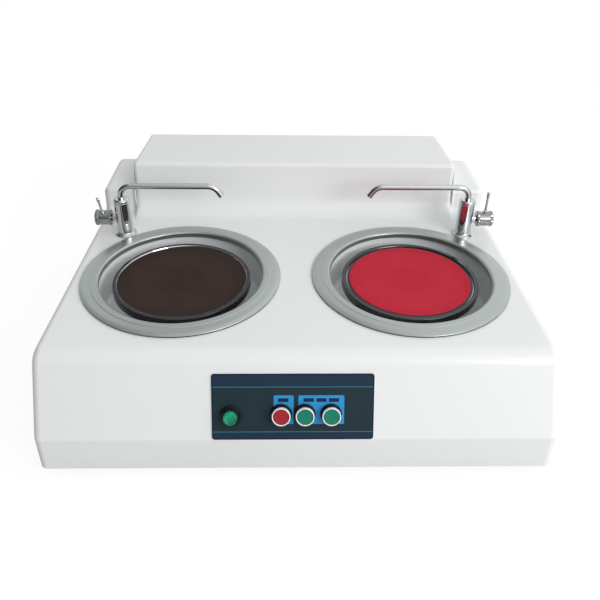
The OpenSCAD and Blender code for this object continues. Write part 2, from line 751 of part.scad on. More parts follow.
module control_panel() color([0.11, 0.13, 0.17]) difference() {
    on_panel() rounded(panel_w, panel_h, panel_round, panel_t, $fn = 32);
    for (x = concat([stop_x], start_x)) on_panel(x, button_up) translate([0, 0, -over])
        cylinder(r = switch_hole_r, h = panel_t + over * 2);
    on_panel(lamp_x, lamp_up) translate([0, 0, -over]) cylinder(r = switch_hole_r, h = panel_t + over * 2);
}

module label_plates() color([0.12, 0.5, 0.82]) difference() {
    on_panel() translate([0, 0, panel_t]) for (span = [stop_label, start_label])
        translate([span[0], label_up[0], 0]) cube([span[1] - span[0], label_up[1] - label_up[0], label_t]);
    for (x = concat([stop_x], start_x)) on_panel(x, button_up) cylinder(r = switch_hole_r, h = panel_t * 3);
}

// A guard flange stands on the panel and the bright bezel caps it
module button_bezel(x) on_panel(x, button_up) difference() {
    union() {
        translate([0, 0, panel_t + label_t]) cylinder(r = guard_r, h = guard_h - label_t);
        cylinder(r = switch_hole_r - fit, h = panel_t + guard_h);
        translate([0, 0, panel_t + guard_h]) rotate_extrude() polygon([
            [0, 0], [bezel_d / 2, 0], [bezel_d / 2, bezel_h - guard_h - bezel_rim / 2],
            [bezel_d / 2 - bezel_rim / 2, bezel_h - guard_h], [0, bezel_h - guard_h]
        ]);
    }
    translate([0, 0, panel_t + bezel_h - press * 2]) cylinder(r = cap_r + cap_gap, h = bezel_h);
    translate([0, 0, -over]) cylinder(r = cap_stem_r + fit, h = bezel_h * 2);
}
// The cap lies just below the bezel's rim, with a gap under it for its travel
module button_cap(x) on_panel(x, button_up) {
    low = panel_t + bezel_h - press * 2 + press + seat;
    high = panel_t + bezel_h - cap_sink / 2;
    rounding = (high - low) / 4;
    rotate_extrude() polygon([
        [0, 0], [cap_stem_r, 0], [cap_stem_r, low], [cap_r, low], [cap_r, high - rounding],
        [cap_r - rounding, high], [0, high]
    ]);
}
module stop_bezel() color([0.85, 0.86, 0.86]) button_bezel(stop_x);
module stop_cap() color([0.72, 0.12, 0.16]) button_cap(stop_x);
module left_start_bezel() color([0.85, 0.86, 0.86]) button_bezel(start_x[0]);
module left_start_cap() color([0.04, 0.5, 0.36]) button_cap(start_x[0]);
module right_start_bezel() color([0.85, 0.86, 0.86]) button_bezel(start_x[1]);
module right_start_cap() color([0.04, 0.5, 0.36]) button_cap(start_x[1]);

module lamp_bezel() color([0.07, 0.07, 0.08]) on_panel(lamp_x, lamp_up) difference() {
    union() {
        cylinder(r = switch_hole_r - fit, h = panel_t + guard_h);
        translate([0, 0, panel_t]) rotate_extrude() polygon([
            [0, 0], [guard_r, 0], [guard_r, guard_h], [bezel_d / 2, guard_h * 3 / 2],
            [bezel_d / 2 - bezel_rim / 2, lamp_h - guard_h], [0, lamp_h - guard_h]
        ]);
    }
    translate([0, 0, panel_t + guard_h]) cylinder(r = lens_d / 2 + cap_gap, h = lamp_h);
}
module lamp_lens() color([0.05, 0.55, 0.35]) on_panel(lamp_x, lamp_up)
    translate([0, 0, panel_t + guard_h]) rotate_extrude() polygon([
        [0, 0], [lens_d / 2, 0], [lens_d / 2, lamp_h - guard_h * 2], [lens_d * lens_crown_share, lamp_h - guard_h],
        [lens_d / 4, lamp_h - guard_h * 2 / 3], [0, lamp_h - guard_h / 2]
    ]);

// Switch blocks behind the face, each clamped by a nut against the inside of the wall
module switch_bodies() color([0.2, 0.2, 0.22])
    for (place = [[stop_x, button_up], [start_x[0], button_up], [start_x[1], button_up], [lamp_x, lamp_up]])
        on_panel(place[0], place[1]) {
            translate([-switch_w / 2, -switch_w / 2, -wall - guard_h - switch_h])
                cube([switch_w, switch_w, switch_h]);
            translate([0, 0, -wall - guard_h]) cylinder(r = nut_r, h = guard_h - seat);
        }

// Taps, in a frame whose +X points outwards along the valve
tap_flange_t = 4;
tap_collar_h = 3;
stem_in = 18;
neck_r = 7;
neck_x = 19;
valve_z = 30;
valve_pin_r = 4;
valve_pin_l = 12;
knob_l = 27;
lever_r = 2.6;
lever_l = 37;
lever_x = 33;
lever_tip_share = 0.85; // radius of the lever near its tip as a share of its radius
lever_tip_at_share = 0.95; // where that is, as a share of its length
bend_r = 17;
tip_bend_r = 20;
tip_turn = 56; // degrees
tip_l = 10;
spout_wall = 1;
sleeve_t = 0.3; // the end of the tube is sleeved
tip_lap = 1; // how far the sleeve laps the bend
tap_stem_h = 26;
tap_nut_r = 15;
tap_nut_t = 6;
ridge_count = 20;
ridge_r = 0.9;

module tap_body() difference() {
    union() {
        rotate_extrude() polygon([
            [0, 0], [tap_flange_r, 0], [tap_flange_r, tap_flange_t / 2], [tap_flange_r - tap_flange_t / 2, tap_flange_t],
            [tap_d / 2, tap_flange_t], [tap_d / 2, tap_h - tap_collar_h], [tap_d / 2 - tap_collar_h / 2, tap_h],
            [0, tap_h]
        ]);
        translate([0, 0, -tap_stem_h]) cylinder(r = tap_stem_r, h = tap_stem_h + tap_flange_t / 2);
        translate([0, 0, valve_z]) rotate([0, 90, 0]) {
            cylinder(r = neck_r, h = neck_x - seat);
            cylinder(r = valve_pin_r, h = neck_x + valve_pin_l);
        }
    }
    translate([0, 0, tap_h - stem_in]) cylinder(r = spout_d / 2 + fit, h = stem_in + over);
    translate([0, 0, -tap_stem_h - over]) cylinder(r = water_d / 2 + fit, h = water_d + over);
}
module left_tap_body() color([0.82, 0.83, 0.85]) at_tap(-1) tap_body();
module right_tap_body() color([0.82, 0.83, 0.85]) at_tap(1) tap_body();

module wall_ring() difference() {
    circle(spout_d / 2, $fn = 48);
    circle(spout_d / 2 - spout_wall, $fn = 48);
}
module straight(l) linear_extrude(l) wall_ring();
module tip_sleeve() translate([0, 0, -tip_lap]) tube(spout_d / 2 + sleeve_t, spout_d / 2 - spout_wall + sleeve_t / 2, tip_l + tip_lap);
module elbow(r, turn) rotate([90, 0, 0]) rotate_extrude(angle = turn, $fn = 64) translate([r, 0]) wall_ring();
module spout() {
    low = tap_h - stem_in + seat;
    knee = spout_h - bend_r;
    translate([0, 0, low]) straight(knee - low);
    translate([-bend_r, 0, knee]) elbow(bend_r, 90);
    translate([-bend_r, 0, spout_h]) rotate([0, -90, 0]) straight(spout_reach - bend_r);
    translate([-spout_reach, 0, spout_h - tip_bend_r]) rotate([0, -90, 0]) {
        elbow(tip_bend_r, tip_turn);
        rotate([0, -tip_turn, 0]) translate([tip_bend_r, 0, 0]) tip_sleeve();
    }
}
module left_spout() color([0.82, 0.83, 0.85]) at_tap(-1) spout();
module right_spout() color([0.82, 0.83, 0.85]) at_tap(1) spout();

module valve_knob() translate([neck_x, 0, valve_z]) rotate([0, 90, 0]) difference() {
    union() {
        cylinder(r = knob_d / 2 - ridge_r, h = knob_l);
        cylinder(r = knob_d / 2, h = ridge_r * 3);
        translate([0, 0, knob_l - ridge_r * 3]) cylinder(r = knob_d / 2, h = ridge_r * 3);
    }
    translate([0, 0, -over]) cylinder(r = valve_pin_r + fit, h = valve_pin_l + seat * 2 + over);
    translate([-knob_d / 2 + ridge_r * 5 + seat, 0, lever_x - neck_x]) rotate([0, -90, 0])
        cylinder(r = lever_r + fit, h = knob_d);
}
module valve_lever() translate([lever_x, 0, valve_z + knob_d / 2 - ridge_r]) rotate_extrude() polygon([
    [0, -ridge_r * 4], [lever_r, -ridge_r * 4], [lever_r, 0], [lever_r * lever_tip_share, lever_l * lever_tip_at_share], [0, lever_l]
]);
left_rest = 23; // degrees that the left lever leans forward at rest
module at_valve(side, lean) at_tap(side) translate([0, 0, valve_z]) rotate([lean, 0, 0])
    translate([0, 0, -valve_z]) children();
module left_valve_knob() color([0.75, 0.76, 0.78]) at_valve(-1, left_rest) valve_knob();
module right_valve_knob() color([0.75, 0.76, 0.78]) at_valve(1, 0) valve_knob();
module left_valve_lever() color([0.82, 0.83, 0.85]) at_valve(-1, left_rest) valve_lever();
module right_valve_lever() color([0.82, 0.83, 0.85]) at_valve(1, 0) valve_lever();

module tap_nuts() color([0.7, 0.6, 0.35]) for (side = [-1, 1]) at_tap(side)
    translate([0, 0, -wall - seat - tap_nut_t]) difference() {
        cylinder(r = tap_nut_r, h = tap_nut_t, $fn = 6);
        translate([0, 0, -over]) cylinder(r = tap_stem_r + fit, h = tap_nut_t + over * 2);
    }

// Pipes inside the shell
collar_share = 0.8; // radius of a drain's collar as a share of its diameter
knuckle_share = 0.6; // radius of a pipe's bend as a share of its diameter
gland_nut_share = 1.4; // radius of the gland's nut as a share of its radius
pipe_y = motor_y - motor_d / 2 - drain_d * collar_share;
pipe_wall = 2;
module supply_pipes() color([0.2, 0.35, 0.7]) {
    low = [for (side = [-1, 1]) [side * tap_x, disc_y + tap_back, supply_z]];
    corner = [for (side = [-1, 1]) [side * tap_x, pipe_y, supply_z]];
    up = [0, 0, deck_z - tap_stem_h + water_d - seat * 2 - supply_z];
    pipe_run([low[0] + up, low[0], corner[0], corner[1], low[1], low[1] + up], water_d / 2);
    pipe_run([[supply_x, pipe_y, supply_z], [supply_x, back_y - wall * 3, supply_z]], water_d / 2);
    for (p = concat(low, corner, [[supply_x, pipe_y, supply_z]])) translate(p) sphere(water_d * knuckle_share);
}
module drain_pipes() color([0.6, 0.6, 0.6]) {
    cup = bowl_t;
    top = deck_z - bowl_depth - bowl_t - seat;
    heads = [for (side = [-1, 1]) [side * disc_x, disc_y + spigot_back, drain_z]];
    corner = [for (side = [-1, 1]) [side * disc_x, pipe_y, drain_z]];
    difference() {
        union() {
            pipe_run([heads[0] + [0, 0, top - drain_z], heads[0], corner[0], corner[1]], drain_d / 2);
            pipe_run([heads[1] + [0, 0, top - drain_z], heads[1], [disc_x, back_y - wall * 3, drain_z]], drain_d / 2);
            for (p = concat(heads, corner)) translate(p) sphere(drain_d * knuckle_share);
        }
        for (p = heads) translate([p[0], p[1], top - spigot_h])
            cylinder(r = drain_d / 2 - bowl_t / 2 + fit, h = spigot_h + over);
    }
}

// Rear fittings
module behind(x, z) translate([x, back_y, z]) rotate([-90, 0, 0]) children();
barb_count = 3;
module water_inlet() color([0.78, 0.65, 0.35]) behind(supply_x, supply_z) difference() {
    union() {
        translate([0, 0, -wall * 3]) cylinder(r = water_d / 2 + wall / 2 - seat, h = wall * 3);
        translate([0, 0, seat]) cylinder(r = water_d, h = wall);
        cylinder(r = water_d / 2, h = rear_reach);
    }
    translate([0, 0, -wall * 4]) cylinder(r = water_d / 4, h = rear_reach * 3);
}
module drain_outlet() color([0.55, 0.56, 0.58]) behind(disc_x, drain_z) difference() {
    union() {
        translate([0, 0, -wall * 3 + seat]) cylinder(r = drain_d / 2, h = rear_reach + wall * 3 - seat);
        translate([0, 0, seat]) cylinder(r = drain_d * collar_share, h = wall / 2);
    }
    translate([0, 0, -wall * 4]) cylinder(r = drain_d / 2 - pipe_wall, h = rear_reach * 3);
}
module cable_gland() color([0.1, 0.1, 0.11]) behind(gland_x, gland_z) difference() {
    union() {
        translate([0, 0, -wall * 3]) cylinder(r = gland_r - fit, h = wall * 3 + over);
        translate([0, 0, seat]) cylinder(r = gland_r * gland_nut_share, h = wall * 3 / 2, $fn = 6);
        translate([0, 0, wall]) cylinder(r = gland_r, h = rear_reach - wall * 2);
    }
    translate([0, 0, -wall * 4]) cylinder(r = gland_r / 2, h = rear_reach * 3);
}

housing_shell();
base_plate();
base_screws();
rubber_feet();
bridge_channel();
left_bowl();
right_bowl();
left_splash_ring();
right_splash_ring();
left_platen();
right_platen();
left_clamp_ring();
right_clamp_ring();
left_abrasive_paper();
right_backing_pad();
right_polishing_cloth();
left_slinger();
right_slinger();
left_spindle();
right_spindle();
left_bearing_housing();
right_bearing_housing();
left_bearings();
right_bearings();
left_pulley();
right_pulley();
left_belt();
right_belt();
motor_casing();
motor_mount();
motor_shaft();
motor_pulley();
control_box();
control_panel();
label_plates();
switch_bodies();
lamp_bezel();
lamp_lens();
stop_bezel();
stop_cap();
left_start_bezel();
left_start_cap();
right_start_bezel();
right_start_cap();
left_tap_body();
right_tap_body();
left_spout();
right_spout();
left_valve_knob();
right_valve_knob();
left_valve_lever();
right_valve_lever();
tap_nuts();
supply_pipes();
drain_pipes();
water_inlet();
drain_outlet();
cable_gland();
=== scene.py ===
import json
import math

import bmesh
import bpy
import numpy as np
from mathutils import Matrix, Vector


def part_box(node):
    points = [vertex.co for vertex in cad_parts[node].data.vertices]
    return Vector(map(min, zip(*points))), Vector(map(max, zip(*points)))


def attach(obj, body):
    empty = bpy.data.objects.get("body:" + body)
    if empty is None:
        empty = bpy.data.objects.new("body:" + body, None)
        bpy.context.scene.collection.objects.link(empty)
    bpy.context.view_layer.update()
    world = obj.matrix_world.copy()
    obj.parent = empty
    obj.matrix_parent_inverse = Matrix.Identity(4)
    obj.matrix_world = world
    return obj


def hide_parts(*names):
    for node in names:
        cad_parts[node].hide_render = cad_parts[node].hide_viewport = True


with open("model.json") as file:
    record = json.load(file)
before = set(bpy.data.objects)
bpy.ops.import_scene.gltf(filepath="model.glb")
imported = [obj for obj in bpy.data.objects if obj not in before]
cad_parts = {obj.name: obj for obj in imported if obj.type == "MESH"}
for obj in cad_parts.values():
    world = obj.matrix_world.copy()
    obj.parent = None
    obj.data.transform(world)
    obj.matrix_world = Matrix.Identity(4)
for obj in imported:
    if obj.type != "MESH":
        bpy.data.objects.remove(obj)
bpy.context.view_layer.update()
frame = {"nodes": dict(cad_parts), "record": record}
nodes = frame["nodes"]
mm = 0.001
print("frame loaded,", len(nodes), "nodes")


# Named sizes, in millimetres and degrees, as the part has them

shell = {
    "width": 722.0, "depth": 587.0, "deckH": 166.0, "bandH": 56.0, "lean": 25.5, "draft": 3.0,
    "spread": 19.0, "wall": 4.0, "browR": 30.0, "shoulderR": 12.0, "humpW": 560.0, "humpD": 137.0,
    "humpH": 91.5, "humpTaper": 10.0, "wingD": 134.0, "wingH": 42.0, "sweepR": 33.0, "edgeR": 8.0,
    "footH": 12.0, "creaseR": 7.0, "nookR": 6.0, "wingSweepR": 14.0, "humpBackR": 12.0,
    "stepLean": 4.0, "backDraft": 2.0, "endTaper": 3.0,
    "shoulderSteps": 12, "nookSteps": 6, "capSteps": 10,
}
panel = {
    "x": -7.0, "drop": 74.5, "width": 219.0, "height": 92.6, "thick": 2.0, "corner": 4.0,
    "lineUp": 28.0, "lineDown": 35.1, "buttonUp": -9.7, "stopX": -16.0, "startX": (16.0, 51.5),
    "lampX": -84.0, "lampUp": -12.0, "holeR": 11.0, "labelT": 0.4, "labelUp": (-24.0, 16.5),
    "stopLabel": (-26.2, 0.8), "startLabel": (7.2, 69.2), "fieldUp": 9.8,
    "fields": ((-20.5, -5.9), (13.9, 28.4), (31.1, 45.4), (48.0, 62.4)),
    "guardR": 14.6, "guardH": 3.0, "bezelR": 12.6, "bezelBore": 10.9, "bezelFoot": 9.0, "bezelTop": 14.0,
    "seat": 8.0, "stemR": 6.0, "capR": 10.3, "capLow": 11.3, "capTop": 13.5,
    "lampTop": 9.5, "lampBore": 10.3, "lensR": 10.0, "lensLow": 3.0, "lensTop": 17.0, "lensFlutes": 18,
}
disc = {"pitch": 354.0, "back": 236.5, "tapX": 287.019, "tapBack": 132.991}
fit = 0.05   # play at each side where one piece sits in another

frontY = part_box("housing_shell")[0].y / mm
backY = frontY + shell["depth"]
footZ = shell["footH"]
deckZ = footZ + shell["deckH"]
bandZ = footZ + shell["bandH"]
lean = math.radians(shell["lean"])
browY = frontY + (deckZ - bandZ) * math.tan(lean)
humpY = backY - shell["humpD"]
discX = disc["pitch"] / 2
discY = frontY + disc["back"]
tapY = discY + disc["tapBack"]
panelSpot = np.array([panel["x"], browY - panel["drop"] * math.sin(lean),
                      deckZ - panel["drop"] * math.cos(lean)])
panelUp = np.array([0, math.sin(lean), math.cos(lean)])
panelOut = np.array([0, -math.cos(lean), math.sin(lean)])
buttonSpots = [(x, panel["buttonUp"]) for x in (panel["stopX"], *panel["startX"])]
lampSpot = (panel["lampX"], panel["lampUp"])
sides = {"left": -1, "right": 1}


# Camera, solved from the two splash rings

view = {"focal": 680.0, "pitch": 35.57, "yaw": 1.72, "roll": 1.02, "distance": 1055.3,
        "shot": (296.3, 276.45), "picture": 600, "sensor": 36}


def inScene(name, data):
    item = bpy.data.objects.new(name, data)
    bpy.context.scene.collection.objects.link(item)
    return item


def turnTo(right, up, back, spot):
    # Turn and place of an item whose own X, Y and Z point right, up and back
    turn = Matrix([list(right) + [0], list(up) + [0], list(back) + [0], [0, 0, 0, 1]]).transposed()
    turn.translation = spot
    return turn


def placeCamera(v):
    # The ray through the picture point "shot" meets the middle point between the discs at the given distance
    pitch, yaw, roll = (math.radians(v[k]) for k in ("pitch", "yaw", "roll"))
    ahead = np.array([math.sin(yaw) * math.cos(pitch), math.cos(yaw) * math.cos(pitch), -math.sin(pitch)])
    level = np.array([math.cos(yaw), -math.sin(yaw), 0])
    rise = np.cross(level, ahead)
    right = math.cos(roll) * level + math.sin(roll) * rise
    up = -math.sin(roll) * level + math.cos(roll) * rise
    dx = (v["shot"][0] - v["picture"] / 2) / v["focal"]
    dy = -(v["shot"][1] - v["picture"] / 2) / v["focal"]
    spot = np.array([0, discY, deckZ]) - (ahead + right * dx + up * dy) * v["distance"]
    data = bpy.data.cameras.new("camera")
    data.sensor_width = v["sensor"]
    data.lens = v["focal"] / v["picture"] * v["sensor"]
    data.clip_start, data.clip_end = 0.05, 20
    camera = inScene("camera", data)
    camera.matrix_world = turnTo(right, up, -ahead, spot * mm)
    bpy.context.scene.camera = camera


placeCamera(view)
print("camera placed")


# Shader maths

def maths(operation, flip=False):
    # A method that adds a Math node. Flipped, the socket is its second value.
    def method(sock, other=None):
        first, second = (other, sock) if flip else (sock, other)
        return sock.shader.add("ShaderNodeMath", {"operation": operation}, {0: first, 1: second})
    return method


class Sock:
    # One output of a node. Sums, products and comparisons of these add Math nodes.
    def __init__(self, shader, socket):
        self.shader, self.socket = shader, socket

    __add__, __radd__ = maths("ADD"), maths("ADD", True)
    __sub__, __rsub__ = maths("SUBTRACT"), maths("SUBTRACT", True)
    __mul__, __rmul__ = maths("MULTIPLY"), maths("MULTIPLY", True)
    __truediv__, __rtruediv__ = maths("DIVIDE"), maths("DIVIDE", True)
    __lt__, __gt__ = maths("LESS_THAN"), maths("GREATER_THAN")
    __abs__, root, most = maths("ABSOLUTE"), maths("SQRT"), maths("MAXIMUM")

    def ramp(self, low, high):
        # 0 below low, 1 above high, smooth between
        return self.shader.add("ShaderNodeMapRange", {"interpolation_type": "SMOOTHSTEP"},
                               {"Value": self, "From Min": low, "From Max": high})


class Shader:
    # A material, or the world, built up node by node
    def __init__(self, name, world=False):
        self.material = (bpy.data.worlds if world else bpy.data.materials).new(name)
        self.material.use_nodes = True
        self.tree = self.material.node_tree
        self.tree.nodes.clear()
        self.end = self.tree.nodes.new("ShaderNodeOutputWorld" if world else "ShaderNodeOutputMaterial")
        self.place = self.add("ShaderNodeTexCoord", out="Generated" if world else "Object")

    def add(self, kind, settings=None, sockets=None, out=0):
        node = self.tree.nodes.new(kind)
        for key, value in (settings or {}).items():
            setattr(node, key, value)
        for key, value in (sockets or {}).items():
            if isinstance(value, Sock):
                self.tree.links.new(value.socket, node.inputs[key])
            elif value is not None:
                node.inputs[key].default_value = value
        return Sock(self, node.outputs[out])

    def close(self, sock):
        self.tree.links.new(sock.socket, self.end.inputs["Surface"])

    def noise(self, scale, detail=3.0, rough=0.5, place=None, warp=0.0):
        return self.add("ShaderNodeTexNoise", None, {"Vector": place or self.place, "Scale": scale,
                        "Detail": detail, "Roughness": rough, "Distortion": warp}, "Fac")

    def cells(self, scale, feature="F1", out="Distance"):
        return self.add("ShaderNodeTexVoronoi", {"feature": feature},
                        {"Vector": self.place, "Scale": scale}, out)

    def mix(self, amount, first, second):
        first, second = (colour(c) if isinstance(c, tuple) else c for c in (first, second))
        return self.add("ShaderNodeMix", {"data_type": "RGBA"}, {0: amount, 6: first, 7: second}, 2)

    def axes(self, place=None):
        node = self.add("ShaderNodeSeparateXYZ", None, {0: place or self.place})
        return [Sock(self, node.socket.node.outputs[i]) for i in range(3)]

    def joined(self, x, y, z):
        return self.add("ShaderNodeCombineXYZ", None, {0: x, 1: y, 2: z})

    def along(self, direction, origin):
        # Distance of the point from origin along a fixed direction, in millimetres
        offset = self.add("ShaderNodeVectorMath", {"operation": "SUBTRACT"},
                          {0: self.place, 1: tuple(float(v) * mm for v in origin)})
        return self.add("ShaderNodeVectorMath", {"operation": "DOT_PRODUCT"},
                        {0: offset, 1: tuple(float(v) / mm for v in direction)}, "Value")

    def bump(self, height, strength, distance):
        return self.add("ShaderNodeBump", None,
                        {"Height": height, "Strength": strength, "Distance": distance})

    def surface(self, tint, rough, normal=None, metal=None, **fixed):
        sockets = {"Base Color": colour(tint) if isinstance(tint, tuple) else tint, "Roughness": rough,
                   "Normal": normal, "Metallic": metal}
        sockets.update({k.replace("_", " "): v for k, v in fixed.items()})
        self.close(self.add("ShaderNodeBsdfPrincipled", None, sockets))
        return self.material


def colour(tint):
    return (*tint, 1.0)


# Finishes

def shellPaint(name):
    # Gloss white moulding: faint orange peel, slow drift of tone, a few darker, duller patches low down at
    # the foot
    s = Shader(name)
    height = s.axes()[2]
    drift = s.noise(3.0, 2.0)
    # patches that darken and dull the skin in its lowest few centimetres
    footPatches = (1 - height.ramp(0.012, 0.05)) * s.noise(38.0, 4.0, 0.6).ramp(0.4, 0.75)
    tint = s.mix(drift, (0.80, 0.80, 0.795), (0.835, 0.835, 0.83))
    tint = s.mix(footPatches * 0.07, tint, (0.52, 0.51, 0.47))
    rough = 0.25 + drift * 0.05 + footPatches * 0.1 + s.noise(700.0, 2.0) * 0.03
    peel = s.bump(s.noise(260.0, 2.0), 0.08, 0.0004)
    return s.surface(tint, rough, peel, IOR=1.5, Coat_Weight=0.12, Coat_Roughness=0.12)


def roundAbout(s):
    # Radius from the nearer disc's axis and a place that runs round it, for turned and brushed metal
    x, y, z = s.axes()
    x = abs(x) - discX * mm
    y = y - discY * mm
    radius = (x * x + y * y + 1e-8).root()
    return radius, x / radius, y / radius, z


def turnedMetal(name, tint, dark, rough, groove, fine, stain=0.3, metal=1.0):
    # Concentric brush lines by noise that is stretched round the axis, with a few dull marks
    s = Shader(name)
    radius, ca, sa, z = roundAbout(s)
    lines = s.noise(1.0, 4.0, 0.6, s.joined(radius * fine, ca * 3.0, sa * 3.0 + z * fine))
    broad = s.noise(1.0, 2.0, 0.5, s.joined(radius * fine * 0.12, ca * 1.6, sa * 1.6 + z * fine * 0.1))
    marks = s.noise(34.0, 5.0, 0.6).ramp(0.52, 0.75)
    tone = s.mix(lines * 0.5 + broad * 0.5, dark, tint)
    tone = s.mix(marks * stain * 0.5, tone, dark)
    shine = rough + (lines - 0.5) * 0.16 + marks * 0.12 * stain
    return s.surface(tone, shine, s.bump(lines, groove, 0.00012), metal)


def gritPaper(name):
    # Resin bonded grit: dense small cells that catch the light, worn a little on the working track
    s = Shader(name)
    radius = roundAbout(s)[0]
    grain = s.cells(1500.0)
    speck = s.noise(2100.0, 2.0, 0.7)
    patch = s.noise(24.0, 4.0, 0.6)
    track = radius.ramp(0.028, 0.05) * (1 - radius.ramp(0.07, 0.092))
    tint = s.mix(patch, (0.030, 0.018, 0.015), (0.044, 0.028, 0.024))
    tint = s.mix(speck.ramp(0.62, 0.74) * 0.5, tint, (0.13, 0.09, 0.08))
    tint = s.mix(track * patch * 0.2, tint, (0.06, 0.04, 0.034))
    edge = radius.ramp(0.0975, 0.0992)
    tint = s.mix(edge, tint, (0.08, 0.055, 0.045))
    return s.surface(tint, 0.72 + speck * 0.2 - track * 0.08, s.bump(grain + speck, 0.65, 0.0003), IOR=1.25)


def napCloth(name):
    # Short dense nap: fine fibres, brushed slightly lighter on the working track
    s = Shader(name)
    radius = roundAbout(s)[0]
    fibre = s.noise(1700.0, 3.0, 0.75)
    clump = s.noise(210.0, 4.0, 0.6, warp=0.6)
    patch = s.noise(16.0, 3.0)
    track = radius.ramp(0.02, 0.045) * (1 - radius.ramp(0.07, 0.09))
    tint = s.mix(patch, (0.46, 0.014, 0.032), (0.54, 0.020, 0.042))
    tint = s.mix(clump.ramp(0.4, 0.75) * 0.4, tint, (0.62, 0.035, 0.06))
    tint = s.mix(track * 0.1, tint, (0.7, 0.06, 0.09))
    return s.surface(tint, 0.82 + fibre * 0.15, s.bump(fibre + clump * 0.6, 0.7, 0.0004),
                     IOR=1.25, Sheen_Weight=0.15, Sheen_Roughness=0.4, Sheen_Tint=colour((1.0, 0.4, 0.45)))


def chromePlate(name, tint=(0.60, 0.615, 0.62)):
    # Bright plating with a light haze of water marks
    s = Shader(name)
    haze = s.noise(38.0, 4.0, 0.6).ramp(0.5, 0.8)
    spots = (1 - s.cells(320.0).ramp(0.05, 0.32)) * haze
    tone = s.mix(spots * 0.4, tint, (0.6, 0.61, 0.62))
    return s.surface(tone, 0.05 + haze * 0.07 + spots * 0.1, s.bump(s.noise(60.0, 2.0), 0.05, 0.0005), 1.0)


def paintedMetal(name, tint, rough, peel=520.0, chips=0.15):
    # Stoved paint: peel, dust lying on it, and small chips to bare metal
    s = Shader(name)
    dust = s.noise(26.0, 5.0, 0.6)
    chip = s.noise(160.0, 5.0, 0.7).ramp(0.68, 0.71) * chips
    tone = s.mix(dust, tint, tuple(v * 0.8 for v in tint))
    tone = s.mix(chip, tone, (0.45, 0.45, 0.46))
    shine = rough + dust * 0.15 - chip * 0.2
    return s.surface(tone, shine, s.bump(s.noise(peel, 2.0) - chip, 0.25, 0.0003), chip)


def plainMetal(name, tint, rough, grain=(60.0, 60.0, 900.0), cast=0.0, metal=1.0):
    # Ground, drawn or cast metal: noise stretched across the grain
    s = Shader(name)
    x, y, z = s.axes()
    lines = s.noise(1.0, 3.0, 0.6, s.joined(x * grain[0], y * grain[1], z * grain[2]))
    marks = s.noise(42.0, 5.0, 0.6)
    tone = s.mix(lines * 0.5 + marks * 0.5, tuple(v * 0.8 for v in tint), tint)
    coarse = s.noise(480.0, 3.0, 0.6) * cast + lines * (1 - cast)
    shine = rough + (lines - 0.5) * 0.12 + marks * 0.1
    return s.surface(tone, shine, s.bump(coarse, 0.2 + cast * 0.4, 0.0003), metal)


def moulding(name, tint, rough, texture=900.0, depth=0.35, **fixed):
    # Moulded plastic or rubber: fine spark texture and slow changes of tone
    s = Shader(name)
    drift = s.noise(18.0, 4.0, 0.6)
    spark = s.cells(texture)
    scuff = s.noise(90.0, 5.0, 0.7).ramp(0.6, 0.8)
    tone = s.mix(drift, tuple(v * 0.86 for v in tint), tint)
    tone = s.mix(scuff * 0.12, tone, (0.55, 0.55, 0.54))
    return s.surface(tone, rough + drift * 0.08 + scuff * 0.1, s.bump(spark, depth, 0.0002), **fixed)


def overPanel(s):
    # Millimetres up the panel's face and across it
    return s.along(panelUp, panelSpot), s.along((1, 0, 0), panelSpot)


def panelFilm(name):
    # Printed film: three fields parted by two thin lines, a darker margin and a bright cut edge
    s = Shader(name)
    up, across = overPanel(s)
    out = s.along(panelOut, panelSpot)
    halfW, halfH, high, low = panel["width"] / 2, panel["height"] / 2, panel["lineUp"], panel["lineDown"]
    lines = (1 - abs(up - high).ramp(0.35, 0.75)).most(1 - abs(up + low).ramp(0.35, 0.75))
    inside = 1 - abs(across).ramp(halfW - 2.0, halfW - 1.6)
    outer = (up > high).most(up < -low)
    cloudy = s.noise(30.0, 3.0)
    tint = s.mix(outer, (0.010, 0.027, 0.038), (0.010, 0.027, 0.058))
    tint = s.mix(cloudy * 0.35, tint, (0.020, 0.032, 0.040))
    margin = abs(across).ramp(halfW - 2.4, halfW - 1.4).most(abs(up).ramp(halfH - 2.2, halfH - 1.2))
    tint = s.mix(margin, tint, (0.004, 0.008, 0.034))
    tint = s.mix(lines * inside, tint, (0.03, 0.17, 0.25))
    tint = s.mix(1 - out.ramp(0.6, 1.2), tint, (0.6, 0.62, 0.63))
    grain = s.noise(1400.0, 2.0)
    shine = 0.3 + grain * 0.1 + cloudy * 0.06
    return s.surface(tint, shine, s.bump(grain + lines * 0.6, 0.2, 0.00012), IOR=1.3)


def labelFilm(name):
    # Bright blue label with bare dark fields where the words would stand
    s = Shader(name)
    up, across = overPanel(s)
    dark = None
    for low, high in panel["fields"]:
        middle, half = (low + high) / 2, (high - low) / 2
        wide = 1 - abs(across - middle).ramp(half - 0.4, half)
        field = wide * (1 - abs(up - panel["fieldUp"]).ramp(2.4, 2.8))
        dark = field if dark is None else dark.most(field)
    tone = s.mix(s.noise(120.0, 3.0), (0.018, 0.25, 0.58), (0.028, 0.31, 0.66))
    tone = s.mix(dark, tone, (0.003, 0.016, 0.066))
    grain = s.noise(1600.0, 2.0)
    return s.surface(tone, 0.32 + grain * 0.1, s.bump(grain + dark * 0.5, 0.2, 0.00012), IOR=1.35)


def buttonCap(name, tint, deep):
    # Translucent cap with a fine stippled face
    s = Shader(name)
    stipple = s.cells(1050.0)
    patch = s.noise(170.0, 3.0)
    tone = s.mix(stipple.ramp(0.1, 0.6) * 0.6 + patch * 0.4, tint, deep)
    return s.surface(tone, 0.34 + patch * 0.12, s.bump(stipple, 0.5, 0.0003),
                     IOR=1.35, Coat_Weight=0.1, Coat_Roughness=0.15)


